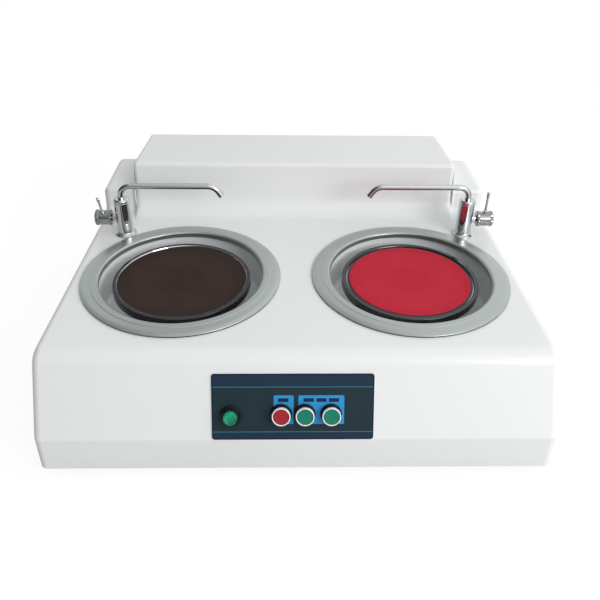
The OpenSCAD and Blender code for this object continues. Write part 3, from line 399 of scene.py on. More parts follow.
def lampGlass(name):
    # Green prismatic lens: cells of pressed facets over a dark well, each cell painted lighter or darker and
    # its edges darker for the light through the glass, with a painted highlight towards its upper left
    s = Shader(name)
    facet = s.cells(420.0, out="Color")
    edge = s.cells(420.0, "DISTANCE_TO_EDGE")
    up, across = overPanel(s)
    # painted highlight: lighter towards the lens's upper left
    side = ((up - panel["lampUp"]) * 0.7 - (across - panel["lampX"]) * 0.7).ramp(-9.0, 9.0)
    # each facet cell is painted lighter or darker for the light through the glass
    level = s.axes(facet)[0]
    tone = s.mix(level, (0.001, 0.09, 0.05), (0.002, 0.27, 0.145))
    tone = s.mix(side * 0.65, tone, (0.03, 0.56, 0.32))
    # facet edges painted darker, for the light through the glass
    tone = s.mix((1 - edge.ramp(0.0, 0.08)) * 0.6, tone, (0.001, 0.045, 0.02))
    return s.surface(tone, 0.12 + level * 0.1, s.bump(edge.ramp(0.0, 0.3) + level * 0.5, 0.45, 0.0006),
                     IOR=1.3, Coat_Weight=0.12, Coat_Roughness=0.04)


finishes = {
    "shell": shellPaint("glossWhiteShell"),
    "ring": turnedMetal("satinRing", (0.485, 0.52, 0.5), (0.395, 0.43, 0.41), 0.31, 0.18, 1300.0, 0.3, 0.85),
    "bowl": turnedMetal("spunBowl", (0.95, 0.96, 0.96), (0.86, 0.88, 0.88), 0.38, 0.2, 900.0, 0.3, 0.12),
    "platen": turnedMetal("turnedPlaten", (0.6, 0.61, 0.62), (0.45, 0.46, 0.47), 0.28, 0.4, 1100.0),
    # The clamp rings are polished steel, painted near black as painted shade for their dark reflections; the
    # rim finish, for the left ring, is a darker copy.
    "clamp": turnedMetal("clampSteel", (0.095, 0.097, 0.10), (0.06, 0.062, 0.065), 0.24, 0.2, 1500.0),
    "rim": turnedMetal("rimSteel", (0.08, 0.08, 0.085), (0.05, 0.05, 0.054), 0.18, 0.2, 1500.0),
    "paper": gritPaper("gritPaper"),
    "cloth": napCloth("redNap"),
    "pad": moulding("padRubber", (0.03, 0.03, 0.034), 0.6, 1200.0, 0.5),
    "chrome": chromePlate("brightChrome"),
    # the knobs take a darker copy of the chrome, as painted shade for their darker reflections
    "knob": chromePlate("knobChrome", (0.34, 0.35, 0.345)),
    "panel": panelFilm("panelFilm"),
    "label": labelFilm("labelFilm"),
    "bezel": plainMetal("satinBezel", (0.96, 0.96, 0.96), 0.3, (400.0, 400.0, 400.0), 0.0, 0.08),
    "red_cap": buttonCap("redCap", (0.44, 0.018, 0.030), (0.30, 0.010, 0.019)),
    "green_cap": buttonCap("greenCap", (0.003, 0.27, 0.165), (0.002, 0.16, 0.10)),
    "lens": lampGlass("greenLens"),
    "black": moulding("blackMoulding", (0.009, 0.009, 0.011), 0.36, 1300.0, 0.25, IOR=1.3),
    "rubber": moulding("footRubber", (0.022, 0.022, 0.023), 0.62, 700.0, 0.5),
    "steel_plate": paintedMetal("greyPaint", (0.11, 0.12, 0.13), 0.5),
    "base": paintedMetal("basePaint", (0.26, 0.27, 0.28), 0.48),
    "zinc": plainMetal("zincPlate", (0.62, 0.62, 0.60), 0.32, (500.0, 500.0, 500.0)),
    "steel": plainMetal("groundSteel", (0.62, 0.63, 0.65), 0.22),
    "cast": paintedMetal("castingPaint", (0.10, 0.16, 0.22), 0.5, 240.0, 0.1),
    "pulley": plainMetal("machinedIron", (0.30, 0.31, 0.32), 0.34, (60.0, 60.0, 1200.0), 0.3),
    "belt": moulding("beltRubber", (0.02, 0.02, 0.02), 0.66, 500.0, 0.6),
    "motor": paintedMetal("motorPaint", (0.08, 0.12, 0.16), 0.46, 300.0, 0.12),
    "box": moulding("boxPlastic", (0.56, 0.56, 0.51), 0.48),
    "brass": plainMetal("plainBrass", (0.62, 0.43, 0.16), 0.26, (300.0, 300.0, 300.0)),
    "hose": moulding("hosePlastic", (0.04, 0.11, 0.45), 0.36),
    "pvc": moulding("pipePlastic", (0.32, 0.32, 0.32), 0.44),
}
print("finishes made,", len(finishes))


# Shapes. Each is a pair of points, in millimetres, and faces.

def rectangle(left, low, right, high):
    return [(left, low), (right, low), (right, high), (left, high)]


def rounded(corners, radii, steps):
    # Closed outline: each corner becomes an arc that touches both of its edges
    corners = np.asarray(corners, float)
    radii = np.broadcast_to(radii, len(corners))
    out = []
    for i, spot in enumerate(corners):
        before, after = corners[i - 1] - spot, corners[(i + 1) % len(corners)] - spot
        la, lb = np.linalg.norm(before), np.linalg.norm(after)
        before, after = before / la, after / lb
        angle = math.acos(float(np.clip(before @ after, -1, 1)))
        if radii[i] <= 0 or angle > math.pi - 0.02:
            out.append(spot[None])
            continue
        reach = min(radii[i] / math.tan(angle / 2), 0.49 * la, 0.49 * lb)
        radius = reach * math.tan(angle / 2)
        middle = (before + after) / np.linalg.norm(before + after)
        centre = spot + middle * radius / math.sin(angle / 2)
        v1, v2 = spot + before * reach - centre, spot + after * reach - centre
        sweep = math.pi - angle
        t = np.linspace(0, 1, steps + 1)[:, None]
        out.append(centre + (np.sin((1 - t) * sweep) * v1 + np.sin(t * sweep) * v2) / math.sin(sweep))
    return np.concatenate(out)


def gridFaces(rows, columns, wrapRows, wrapColumns):
    # Quads of a grid of rows x columns points, closed on itself where asked
    i, j = np.meshgrid(np.arange(rows if wrapRows else rows - 1),
                       np.arange(columns if wrapColumns else columns - 1), indexing="ij")
    k, l = (i + 1) % rows, (j + 1) % columns
    return np.stack([i * columns + j, i * columns + l, k * columns + l, k * columns + j], -1).reshape(-1, 4)


def lathe(outline, segments, flutes=0, depth=0.0, low=0.0, high=1e9):
    # Point (r, z) of the outline turned about Z: (r cos a, r sin a, z). Between two radii, flutes cut r by
    # depth times half of 1 + cos(flutes a).
    outline = np.asarray(outline, float)
    a = np.linspace(0, 2 * np.pi, segments, endpoint=False)[None, :]
    r, z = outline[:, :1], outline[:, 1:]
    if flutes:
        r = r - depth * (0.5 + 0.5 * np.cos(flutes * a)) * ((r > low) & (r < high))
    points = np.stack([r * np.cos(a), r * np.sin(a), z + 0 * a], -1)
    return points.reshape(-1, 3), gridFaces(len(outline), segments, True, True)


def rod(radius, low, high, segments):
    # Solid cylinder: a rectangle turned about Z
    return lathe(rectangle(0, low, radius, high), segments)


def tubeAlong(path, outer, inner, segments):
    # Hollow tube: circles of both radii carried along the path, square to it, with soft lips at the ends
    path = np.asarray(path, float)
    ahead = np.gradient(path, axis=0)
    ahead /= np.linalg.norm(ahead, axis=1, keepdims=True)
    side = np.cross(ahead, [0, 1, 0])
    side /= np.linalg.norm(side, axis=1, keepdims=True)
    lift = np.cross(ahead, side)
    a = np.linspace(0, 2 * np.pi, segments, endpoint=False)[None, :, None]
    circle = side[:, None] * np.cos(a) + lift[:, None] * np.sin(a)
    lip = (outer - inner) * 0.25
    radii = [np.full(len(path), outer), np.full(len(path), inner)]
    radii[0][[0, -1]] -= lip
    radii[1][[0, -1]] += lip
    rings = [path[:, None] + r[:, None, None] * circle for r in radii]
    points = np.concatenate([rings[0], rings[1][::-1]])
    return points.reshape(-1, 3), gridFaces(len(points), segments, True, True)


def arc(centre, first, second, radius, degrees, steps):
    # Points centre + radius (first cos t + second sin t)
    t = np.radians(np.linspace(0, degrees, steps + 1))[:, None]
    return np.array(centre, float) + radius * (np.array(first) * np.cos(t) + np.array(second) * np.sin(t))


def plate(outline, low, high, edge):
    # Flat plate with softened edges: the outline at three insets on each face, closed by a face at both ends
    middle = outline.mean(0)
    size = np.abs(outline - middle).max(0)
    levels = []
    for z, inset in ((low, edge), (low + edge * 0.3, edge * 0.3), (low + edge, 0), (high - edge, 0),
                     (high - edge * 0.3, edge * 0.3), (high, edge)):
        shrink = 1 - inset / size
        levels.append(np.column_stack([middle + (outline - middle) * shrink, np.full(len(outline), z)]))
    n = len(outline)
    faces = gridFaces(len(levels), n, False, True).tolist()
    faces += [list(range(n)), list(range((len(levels) - 1) * n, len(levels) * n))]
    return np.concatenate(levels), faces


def both(*shapes):
    # Several closed shapes as one
    points, faces, start = [], [], 0
    for p, f in shapes:
        points.append(p)
        faces += [[int(v) + start for v in face] for face in f]
        start += len(p)
    return np.concatenate(points), faces


# Places. Each moves a shape from a piece's own frame towards its place in the whole.

def moved(shape, spot):
    points, faces = shape
    return points + spot, faces


def atDisc(shape, side):
    return moved(shape, [side * discX, discY, deckZ])


def atTap(shape, side):
    points, faces = shape
    return points * [side, 1, 1] + [side * disc["tapX"], tapY, deckZ], faces


def onPanel(shape, x=0.0, up=0.0):
    p, faces = moved(shape, [x, up, 0])
    return panelSpot + p[:, :1] * [1, 0, 0] + p[:, 1:2] * panelUp + p[:, 2:] * panelOut, faces


def turnedX(shape, degrees, z):
    # Turn about the X axis through height z
    points, faces = shape
    c, s = math.cos(math.radians(degrees)), math.sin(math.radians(degrees))
    y, h = points[:, 1], points[:, 2] - z
    return np.column_stack([points[:, 0], y * c - h * s, z + y * s + h * c]), faces


def alongX(shape):
    # A turned shape laid with its axis along +X
    return shape[0][:, [2, 1, 0]], shape[1]


def alongY(shape):
    return shape[0][:, [0, 2, 1]], shape[1]


# Making the pieces

def meshFrom(name, shape):
    points, faces = shape
    mesh = bpy.data.meshes.new(name)
    mesh.from_pydata((points * mm).tolist(), [], faces.tolist() if isinstance(faces, np.ndarray) else faces)
    tidyMesh(mesh)
    return mesh


def tidyMesh(mesh):
    # Poles and seams are merged, then the faces are turned outwards
    b = bmesh.new()
    b.from_mesh(mesh)
    bmesh.ops.remove_doubles(b, verts=b.verts, dist=1e-6)
    bmesh.ops.dissolve_degenerate(b, edges=b.edges, dist=1e-6)
    bmesh.ops.recalc_face_normals(b, faces=b.faces)
    b.to_mesh(mesh)
    b.free()


def camel(node):
    # left_bowl becomes leftBowl
    first, *rest = node.split("_")
    return first + "".join(word.title() for word in rest)


def addPiece(node, shape, body, slotName, angle=30.0, second=None, finish=None, name=None):
    # A new piece from a shape or a mesh, for the node of that name. Edges past the angle stay sharp.
    name = name or camel(node)
    mesh = meshFrom(name, shape) if isinstance(shape, tuple) else shape
    mesh.polygons.foreach_set("use_smooth", np.ones(len(mesh.polygons), bool))
    mesh.set_sharp_from_angle(angle=math.radians(angle))
    piece = inScene(name, mesh)
    mesh.materials.append(finishes[finish or slotName])
    if second:
        # faces whose middle passes the test take the second finish
        mesh.materials.append(finishes[second[0]])
        centres = np.empty(len(mesh.polygons) * 3)
        mesh.polygons.foreach_get("center", centres)
        chosen = second[1](centres.reshape(-1, 3) / mm)
        mesh.polygons.foreach_set("material_index", chosen.astype(np.int32))
    weighted = piece.modifiers.new("evenNormals", "WEIGHTED_NORMAL")
    weighted.keep_sharp = True
    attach(piece, body)
    if node in nodes:
        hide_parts(node)


def carve(mesh, cutters, operation="DIFFERENCE"):
    # The mesh less, or plus, closed cutter shapes, worked out exactly
    target = inScene("carved", mesh)
    tool = inScene("cutter", meshFrom("cutter", both(*cutters)))
    step = target.modifiers.new("carve", "BOOLEAN")
    step.operation, step.object, step.solver = operation, tool, "EXACT"
    done = bpy.data.meshes.new_from_object(target.evaluated_get(bpy.context.evaluated_depsgraph_get()))
    for item in (target, tool):
        bpy.data.objects.remove(item)
    return done


# Housing shell: a loft along X of the step's side profile

def sideProfile(corners, radii, chords, moves):
    # Each edge moves in by its own amount, then each corner is rounded. The last edges run along the foot.
    corners = np.asarray(corners, float)
    count = len(corners)
    ahead = np.roll(corners, -1, 0) - corners
    ahead /= np.linalg.norm(ahead, axis=1, keepdims=True)
    normals = np.column_stack([ahead[:, 1], -ahead[:, 0]])
    out = []
    for i in range(count):
        n1, n2, e1, e2 = normals[i - 1], normals[i], moves[i - 1], moves[i]
        det = n1[0] * n2[1] - n1[1] * n2[0]
        if abs(det) < 1e-9:
            out.append((corners[i] + n1 * e1)[None])
            continue
        c1, c2 = corners[i] @ n1 + e1, corners[i] @ n2 + e2
        spot = np.array([c1 * n2[1] - c2 * n1[1], c2 * n1[0] - c1 * n2[0]]) / det
        if chords[i] == 0:
            out.append(spot[None])
            continue
        turn, sign = math.asin(det), math.copysign(1, radii[i])
        r = sign * max(abs(radii[i]) - sign * max(e1, e2), shell["edgeR"] / 16)
        start = spot - np.array([-n1[1], n1[0]]) * abs(r) * math.tan(abs(turn) / 2)
        a = turn * np.linspace(0, 1, chords[i] + 1)
        c, s = np.cos(a), np.sin(a)
        out.append(start + n1 * r - np.column_stack([n1[0] * c - n1[1] * s, n1[0] * s + n1[1] * c]) * r)
    return np.concatenate(out)


def endX(y, z):
    # Half width of the outer skin at a depth and a height
    v = shell
    return (v["width"] / 2 - v["draft"] * (z - footZ) / v["deckH"]
            - v["spread"] * np.minimum(1, (y - frontY) / (humpY - frontY))
            - v["endTaper"] * np.maximum(0, y - humpY) / v["humpD"])


def humpX(y):
    # Half width of the hump, round at its rear corners
    v = shell
    past = np.clip(y - (backY - v["humpBackR"]), 0, v["humpBackR"])
    return (v["humpW"] / 2 - v["humpTaper"] * np.maximum(0, y - humpY) / v["humpD"] - v["humpBackR"]
            + np.sqrt(v["humpBackR"] ** 2 - past ** 2))


def shellRows(depth):
    # All sections of the skin at a depth below the outer face, as rows x points x 3
    v = shell
    chords = [0, 10, 28, 20, 12, 12, 0, 0]

    def section(kind, aside, own, inset):
        front, top, sweep = ((humpY, deckZ + v["humpH"], v["sweepR"]) if kind == "hump"
                             else (backY - v["wingD"], deckZ + v["wingH"], v["wingSweepR"]))
        corners = [(frontY, footZ), (frontY, bandZ), (browY, deckZ),
                   (front - (top - deckZ) * math.tan(math.radians(v["stepLean"])), deckZ), (front, top),
                   (backY - v["backDraft"], top), (backY, footZ), (humpY, footZ)]
        radii = [0, v["creaseR"], v["browR"], -sweep, v["edgeR"], v["edgeR"], 0, 0]
        edge, step = inset + depth, inset + own + depth
        p = sideProfile(corners, radii, chords, [edge, edge, edge, step, step, edge, 0, 0])
        x = (endX(p[:, 0], p[:, 1]) if kind == "end" else humpX(p[:, 0])) - aside - depth
        return np.column_stack([x, p])

    def bend(steps):
        # What is left of 1 by the cosine and by the sine over a quarter turn
        angles = [math.pi / 2 * k / steps for k in range(steps + 1)]
        return [(1 - math.cos(a), 1 - math.sin(a)) for a in angles]

    half = [section("end", v["shoulderR"] * c, 0, v["shoulderR"] * s) for c, s in bend(v["shoulderSteps"])]
    half += [section("nook", -v["edgeR"] / 4 - v["nookR"] * s, -v["nookR"] * c, 0)
             for c, s in bend(v["nookSteps"])]
    half += [section("hump", v["edgeR"] * c, v["edgeR"] * s, 0) for c, s in bend(v["capSteps"])]
    half = np.array(half)
    fanY, fanZ = humpY + v["shoulderR"] * 2, footZ + v["deckH"] / 2
    tipX = endX(fanY, fanZ) - depth
    tips = np.array([[-tipX, fanY, fanZ], [tipX, fanY, fanZ]])
    return np.concatenate([half * [-1, 1, 1], half[::-1]]), tips


def shellMesh():
    # Outer and inner skins, each closed by a fan at both ends, joined along the foot
    points, faces, start = [], [], 0
    rims = []
    for depth in (0.0, shell["wall"]):
        rows, tips = shellRows(depth)
        m, n = rows.shape[:2]
        grid = gridFaces(m, n, False, True)
        grid = grid[np.isin(grid[:, 0] % n, (n - 2, n - 1), invert=True)]
        faces += (grid + start).tolist()
        for tip, row in ((m * n, 0), (m * n + 1, m - 1)):
            j = np.arange(n)
            fan = np.column_stack([np.full(n, tip), row * n + j, row * n + (j + 1) % n])
            faces += (fan + start).tolist()
        i = np.arange(m)
        rims.append(start + np.concatenate([i * n, [(m - 1) * n + n - 1], i[::-1] * n + n - 2, [n - 1]]))
        points += [rows.reshape(-1, 3), tips]
        start += m * n + 2
    outer, inner = rims
    faces += np.column_stack([outer, np.roll(outer, -1), np.roll(inner, -1), inner]).tolist()
    return meshFrom("housingShell", (np.concatenate(points), faces))


openings = {"deckHoleR": 138.0, "stemR": 8.05, "bossR": 10.0, "bossH": 30.0, "bossIn": 13.0, "bossUp": 3.0,
            "boltR": 2.0, "vents": 9, "ventW": 4.0, "ventH": 46.0, "ventR": 1.95, "ventPitch": 11.0,
            "inletR": 7.0, "inletDown": 71.0, "outletR": 10.3, "outletDown": 97.0,
            "glandR": 8.0, "glandOut": 60.0, "glandUp": 33.0}


def buildShell(v):
    # The skins plus bosses for the base screws, less the round holes and the vents
    near, far = shell["wall"] * 2, shell["wall"] * 3
    baseZ = footZ + v["bossUp"]
    spots = []
    for sx in (-1, 0, 1):
        for y in (frontY + v["bossIn"], backY - v["bossIn"]):
            spots.append(np.array([sx * (endX(y, baseZ) - v["bossIn"]), y, baseZ]))
    mesh = carve(shellMesh(), [moved(rod(v["bossR"], 0, v["bossH"], 32), spot) for spot in spots], "UNION")
    cutters = []
    for side in sides.values():
        cutters.append(atDisc(rod(v["deckHoleR"], -near, near, 160), side))
        cutters.append(atTap(rod(v["stemR"], -near, near, 48), side))
    for x, up in (*buttonSpots, lampSpot):
        cutters.append(onPanel(rod(panel["holeR"], -near, near, 48), x, up))
    for x, z, r in ((-discX, deckZ - v["inletDown"], v["inletR"]),
                    (discX, deckZ - v["outletDown"], v["outletR"]),
                    (-discX - v["glandOut"], footZ + v["glandUp"], v["glandR"])):
        cutters.append(moved(alongY(rod(r, -far, far, 48)), [x, backY, z]))
    w, h = v["ventW"] / 2, v["ventH"] / 2
    slot = alongY(plate(rounded(rectangle(-w, -h, w, h), v["ventR"], 5), -far, far, 0.01))
    for i in range(v["vents"]):
        cutters.append(moved(slot, [(i - (v["vents"] - 1) / 2) * v["ventPitch"], backY, deckZ - h]))
    cutters += [moved(rod(v["boltR"], -1, v["bossH"] / 2, 24), spot) for spot in spots]
    addPiece("housing_shell", carve(mesh, cutters), "frame", "shell", 26.0)


buildShell(openings)
print("shell lofted")


# Basins: ring, black seal as painted shade under it, and bowl

ringSizes = {"outer": 152.5, "bore": 125.0, "rise": 6.4, "seal": 1.5, "edge": 2.9, "step": 136.4,
             "skirt": -3.0, "skirtT": 2.5, "crownR": 147.0, "seatR": 149.5, "seatUp": 2.15,
             "sealBox": (149.7, 0.12, 152.3, 1.46)}   # inner radius, foot, outer radius, top
bowlSizes = {"wall": 132.0, "thick": 3.0, "depth": 62.0, "corner": 9.0, "flange": 147.0, "hubR": 24.0,
             "hubH": 24.0, "spigotBack": 104.0, "spigotR": 8.5, "spigotBore": 7.0, "spigotH": 16.0}


def ringShape(v):
    # Section of skirt, seat, rim, slope and inner bead, turned about Z
    bore, rise, inner = v["bore"], v["rise"], v["bore"] + v["skirtT"]
    corners = [(bore, v["skirt"]), (inner, v["skirt"]), (inner, v["seatUp"]), (v["seatR"], v["seatUp"]),
               (v["seatR"], v["seal"]), (v["outer"], v["seal"]), (v["outer"], v["edge"]),
               (v["crownR"], v["edge"] + 1.9), (v["step"] + 0.6, rise - 0.75), (v["step"], rise - 0.3),
               (bore + 3.0, rise), (bore, rise - 2.0)]
    return lathe(rounded(corners, [0.3, 0.2, 0, 0, 0.2, 0.3, 1.0, 14.0, 0.25, 0.4, 2.6, 1.8], 7), 192)


def bowlShape(v):
    # Section of hub, floor, wall and flange, all of one thickness, turned about Z
    t, deep, wall = v["thick"], -v["depth"], v["wall"]
    corners = [(v["hubR"] - t, v["hubH"] + deep - t), (v["hubR"] - t, deep - t), (wall, deep - t), (wall, 0),
               (v["flange"], 0), (v["flange"], 2), (wall - t, 2), (wall - t, deep), (v["hubR"], deep),
               (v["hubR"], v["hubH"] + deep - t)]
    return lathe(rounded(corners, [0.5, 3, v["corner"], 0.8, 0.4, 0.4, 2.0, v["corner"], 4, 1.2], 8), 160)


def bowlMesh(name, side, v):
    # The bowl plus its drain spigot, less the spigot's bore
    mesh = meshFrom(name, atDisc(bowlShape(v), side))
    spot = [0, v["spigotBack"], -v["depth"] - v["thick"]]
    spigot = rod(v["spigotR"], -v["spigotH"], 1.5, 48)
    mesh = carve(mesh, [atDisc(moved(spigot, spot), side)], "UNION")
    bore = rod(v["spigotBore"], -v["spigotH"] - 1, v["thick"] + 2, 48)
    return carve(mesh, [atDisc(moved(bore, spot), side)])


for hand, side in sides.items():
    addPiece(hand + "_splash_ring", atDisc(ringShape(ringSizes), side), "frame", "ring", 24.0)
    # The black seal under each ring's outer edge is a dark band put where the shadow gap under the ring
    # falls, as painted shade.
    seal = lathe(rounded(rectangle(*ringSizes["sealBox"]), 0.2, 3), 160)
    addPiece(hand + "_ring_seal", atDisc(seal, side), "frame", "black", 32.0)
    addPiece(hand + "_bowl", bowlMesh(hand + "Bowl", side, bowlSizes), "frame", "bowl")
print("basins made")


# Discs: platen, clamp ring, sheets

discSizes = {"sink": 6.6, "platenR": 101.0, "platenT": 12.0, "clampR": 105.7, "clampTop": -3.9, "lip": 1.6,
             "lipIn": 1.6, "lipFoot": 2.4, "brightIn": 1.3, "paperR": 99.5, "sheetT": 0.8, "padR": 97.5,
             "clothR": 94.0, "hubR": 19.0, "hubH": 16.0, "boreR": 10.05}


def platenShape(v):
    # Section of face, rim, underside and bored hub, turned about Z
    top, r, hub = -v["sink"], v["platenR"], v["hubR"]
    low = top - v["platenT"]
    corners = [(0, top), (r, top), (r, low), (r - 4, low), (r - 8, low + 4), (hub + 4, low + 4), (hub, low),
               (hub, low - v["hubH"]), (v["boreR"], low - v["hubH"]), (v["boreR"], low + 7), (0, low + 7)]
    return lathe(rounded(corners, [0, 0.4, 0.6, 0.6, 1.5, 2.0, 1.5, 0.8, 0.4, 0.2, 0], 4), 128)


def clampShape(v):
    # Section of a band round the platen with a lip over its edge, turned about Z
    outer, inner, low, top = v["clampR"], v["platenR"] + fit, -v["sink"] - 9, v["clampTop"]
    corners = [(inner, low), (outer, low), (outer, top), (inner - v["lipIn"], top),
               (inner - v["lipFoot"], top - v["lip"]), (inner, top - v["lip"])]
    return lathe(rounded(corners, [0.2, 0.6, 1.5, 0.7, 0.15, 0], 6), 192)


def sheetShape(radius, low, thick, edge):
    # Thin disc with a soft edge, turned about Z
    return lathe(rounded(rectangle(0, low, radius, low + thick), [0, 0.08, edge, 0], 4), 160)


def paintedGlintLip(points):
    # Faces of the left clamp ring's inner bevel, which take bright chrome as a painted highlight
    reach = discSizes["platenR"] - discSizes["brightIn"]
    return np.hypot(points[:, 0] + discX, points[:, 1] - discY) < reach


def buildDiscs(v):
    for hand, side in sides.items():
        body = hand + "_disc"
        addPiece(hand + "_platen", atDisc(platenShape(v), side), body, "platen")
        # The left clamp ring takes the darker rim copy, with bright chrome on its inner bevel as a painted
        # highlight.
        bright, finish = (("chrome", paintedGlintLip), "rim") if side < 0 else (None, None)
        addPiece(hand + "_clamp_ring", atDisc(clampShape(v), side), body, "clamp", 30.0, bright, finish)
    t, low = v["sheetT"], -v["sink"]
    for hand, sheet, slotName, radius, under, edge in (
            ("left", "abrasive_paper", "paper", v["paperR"], low, 0.15),
            ("right", "backing_pad", "pad", v["padR"], low, 0.2),
            ("right", "polishing_cloth", "cloth", v["clothR"], low + t, 0.35)):
        shape = atDisc(sheetShape(radius, under, t, edge), sides[hand])
        addPiece(hand + "_" + sheet, shape, hand + "_disc", slotName, name=camel(sheet))


buildDiscs(discSizes)
print("discs made")


# Taps

tap = {"flangeR": 18.0, "flangeT": 4.0, "bodyR": 13.0, "height": 66.0, "stemR": 8.0, "stemH": 26.0,
       "stemIn": 18.0, "tubeR": 5.0, "tubeBore": 4.0, "spoutH": 87.5, "reach": 143.0, "bendR": 17.0,
       "tipBendR": 20.0, "tipTurn": 56.0, "tipL": 10.0, "valveZ": 30.0, "neckR": 7.0, "neckX": 19.0,
       "pinR": 4.0, "pinL": 12.0, "knobR": 13.0, "knobL": 27.0, "bandT": 0.9, "flutes": 40, "fluteT": 0.35,
       "leverX": 33.0, "leverR": 2.6, "leverL": 37.0, "leverIn": 3.6, "leftRest": 23.0}


def tapBodyShape(v):
    # Section of stem, flange, barrel, top groove and socket, turned about Z
    r, h, bore, flange = v["bodyR"], v["height"], v["tubeR"] + fit, v["flangeR"]
    corners = [(0, -v["stemH"]), (v["stemR"], -v["stemH"]), (v["stemR"], 0.0), (flange, 0.0), (flange, 1.8),
               (flange - 3.0, v["flangeT"]), (r + 1.2, v["flangeT"] + 0.2), (r, v["flangeT"] + 1.6),
               (r, h - 6.2), (r - 0.5, h - 5.7), (r - 0.5, h - 5.0), (r, h - 4.5), (r, h - 2.4),
               (r - 2.4, h), (bore, h), (bore, h - v["stemIn"]), (0, h - v["stemIn"])]
    radii = [0, 0.8, 0, 0.3, 0.8, 1.4, 0.6, 1.0, 0.2, 0.1, 0.1, 0.2, 1.2, 1.2, 0.3, 0, 0]
    return lathe(rounded(corners, radii, 5), 96)


def neckShape(v):
    # Side neck and the pin that carries the knob
    r, out, end = v["neckR"], v["neckX"] - 0.3, v["neckX"] + v["pinL"]
    corners = [(0, 8.0), (r, 8.0), (r, v["neckX"] - 2.3), (r - 1.0, out), (v["pinR"], out),
               (v["pinR"], end), (0, end)]
    neck = lathe(rounded(corners, [0, 0, 0.5, 0.5, 0, 0.5, 0], 4), 64)
    return moved(alongX(neck), [0, 0, v["valveZ"]])


def spoutShape(v):
    # Up from the body, round the elbow, along, and down at the tip
    low, knee, b, c = v["height"] - v["stemIn"] + 0.3, v["spoutH"] - v["bendR"], v["bendR"], v["tipBendR"]
    bend = arc((-b, 0, knee), (1, 0, 0), (0, 0, 1), b, 90, 20)
    tip = arc((-v["reach"], 0, v["spoutH"] - c), (0, 0, 1), (-1, 0, 0), c, v["tipTurn"], 18)
    turn = math.radians(v["tipTurn"])
    away = np.array([-math.cos(turn), 0, -math.sin(turn)])
    rise = np.zeros((6, 3))
    rise[:, 2] = np.array([0, 0.01, 0.15, 0.45, 0.75, 1]) * (knee - low - 0.4) + low
    run = np.linspace(bend[-1], tip[0], 14)[1:-1]
    end = tip[-1] + away * (np.array([0.1, 0.3, 0.6, 0.9, 0.975, 1.0]) * v["tipL"])[:, None]
    return tubeAlong(np.concatenate([rise, bend, run, tip, end]), v["tubeR"], v["tubeBore"], 36)


def knobShape(v):
    # Plain barrel with a grooved band at each end and fine flutes on the bands
    r, length, pin, thin = v["knobR"], v["knobL"], v["pinR"] + fit, v["knobR"] - v["bandT"]
    corners = [(pin, 0), (r - 2.0, 0), (r, 1.2), (r, 4.2), (thin, 4.9), (thin, length - 5.4),
               (r, length - 4.7), (r, length - 1.2), (r - 1.4, length), (5.5, length),
               (5.0, length - 0.8), (0, length - 0.8),
               (0, v["pinL"] + 0.6), (pin, v["pinL"] + 0.6)]
    outline = rounded(corners, [0, 0.8, 0.6, 0.3, 0.3, 0.3, 0.3, 0.6, 0.8, 0.3, 0.2, 0, 0, 0], 4)
    barrel = lathe(outline, 160, v["flutes"], v["fluteT"], r - 0.3, r + 1)
    return moved(alongX(barrel), [v["neckX"], 0, v["valveZ"]])


def leverShape(v):
    # Slim tapered rod with a small ball end
    r, length, foot = v["leverR"], v["leverL"], -v["leverIn"]
    corners = [(0, foot), (r, foot), (r, 1.4), (r + 0.7, 2.0), (r + 0.7, 3.2), (r * 0.8, 4.0),
               (r * 0.7, length * 0.66), (r, length * 0.8), (r, length - 1.2), (r * 0.5, length),
               (0, length)]
    lever = lathe(rounded(corners, [0, 0.3, 0.2, 0.3, 0.3, 0.6, 1.0, 1.2, 0.8, 0.5, 0], 4), 40)
    return moved(lever, [v["leverX"], 0, v["valveZ"] + v["knobR"] - v["bandT"]])


def leverSeat(v):
    # The lever's seat, bored across the knob a little deeper than the lever goes
    seat = rod(v["leverR"] + fit, -4.7, v["knobR"], 32)
    return moved(seat, [v["leverX"], 0, v["valveZ"] + v["knobR"] - v["bandT"] + 1.0])


def buildTap(hand, rest, v):
    side, valve = sides[hand], hand + "_valve"
    mesh = meshFrom(hand + "TapBody", atTap(tapBodyShape(v), side))
    mesh = carve(mesh, [atTap(neckShape(v), side)], "UNION")
    mesh = carve(mesh, [atTap(rod(v["tubeR"] + fit, -v["stemH"] - 1, -v["stemH"] + 10, 32), side)])
    addPiece(hand + "_tap_body", mesh, "frame", "chrome")
    addPiece(hand + "_spout", atTap(spoutShape(v), side), hand + "_spout", "chrome", 40.0)
    knob, seat, lever = (atTap(turnedX(shape, rest, v["valveZ"]), side)
                         for shape in (knobShape(v), leverSeat(v), leverShape(v)))
    mesh = carve(meshFrom(hand + "ValveKnob", knob), [seat])
    # the knob takes the darker chrome copy, as painted shade
    addPiece(valve + "_knob", mesh, valve, "chrome", finish="knob")
    addPiece(valve + "_lever", lever, valve, "chrome", 40.0)


buildTap("left", tap["leftRest"], tap)
buildTap("right", 0.0, tap)
print("taps made")


# Control panel

def buildPanel(v):
    # Board and labels: flat plates laid on the panel's plane, less the holes
    w, h = v["width"] / 2, v["height"] / 2
    board = plate(rounded(rectangle(-w, -h, w, h), v["corner"], 8), 0.0, v["thick"], 0.4)
    low, high = v["labelUp"]
    labels = []
    for left, right in (v["stopLabel"], v["startLabel"]):
        outline = rounded(rectangle(left, low, right, high), [0.6, 0.6, 2.6, 2.6], 6)
        labels.append(plate(outline, v["thick"], v["thick"] + v["labelT"], 0.1))
    holes = [onPanel(rod(v["holeR"], -1, v["thick"] + 2, 48), x, up) for x, up in (lampSpot, *buttonSpots)]
    for node, shape, slotName in (("control_panel", board, "panel"),
                                  ("label_plates", both(*labels), "label")):
        addPiece(node, carve(meshFrom(camel(node), onPanel(shape)), holes), "frame", slotName)


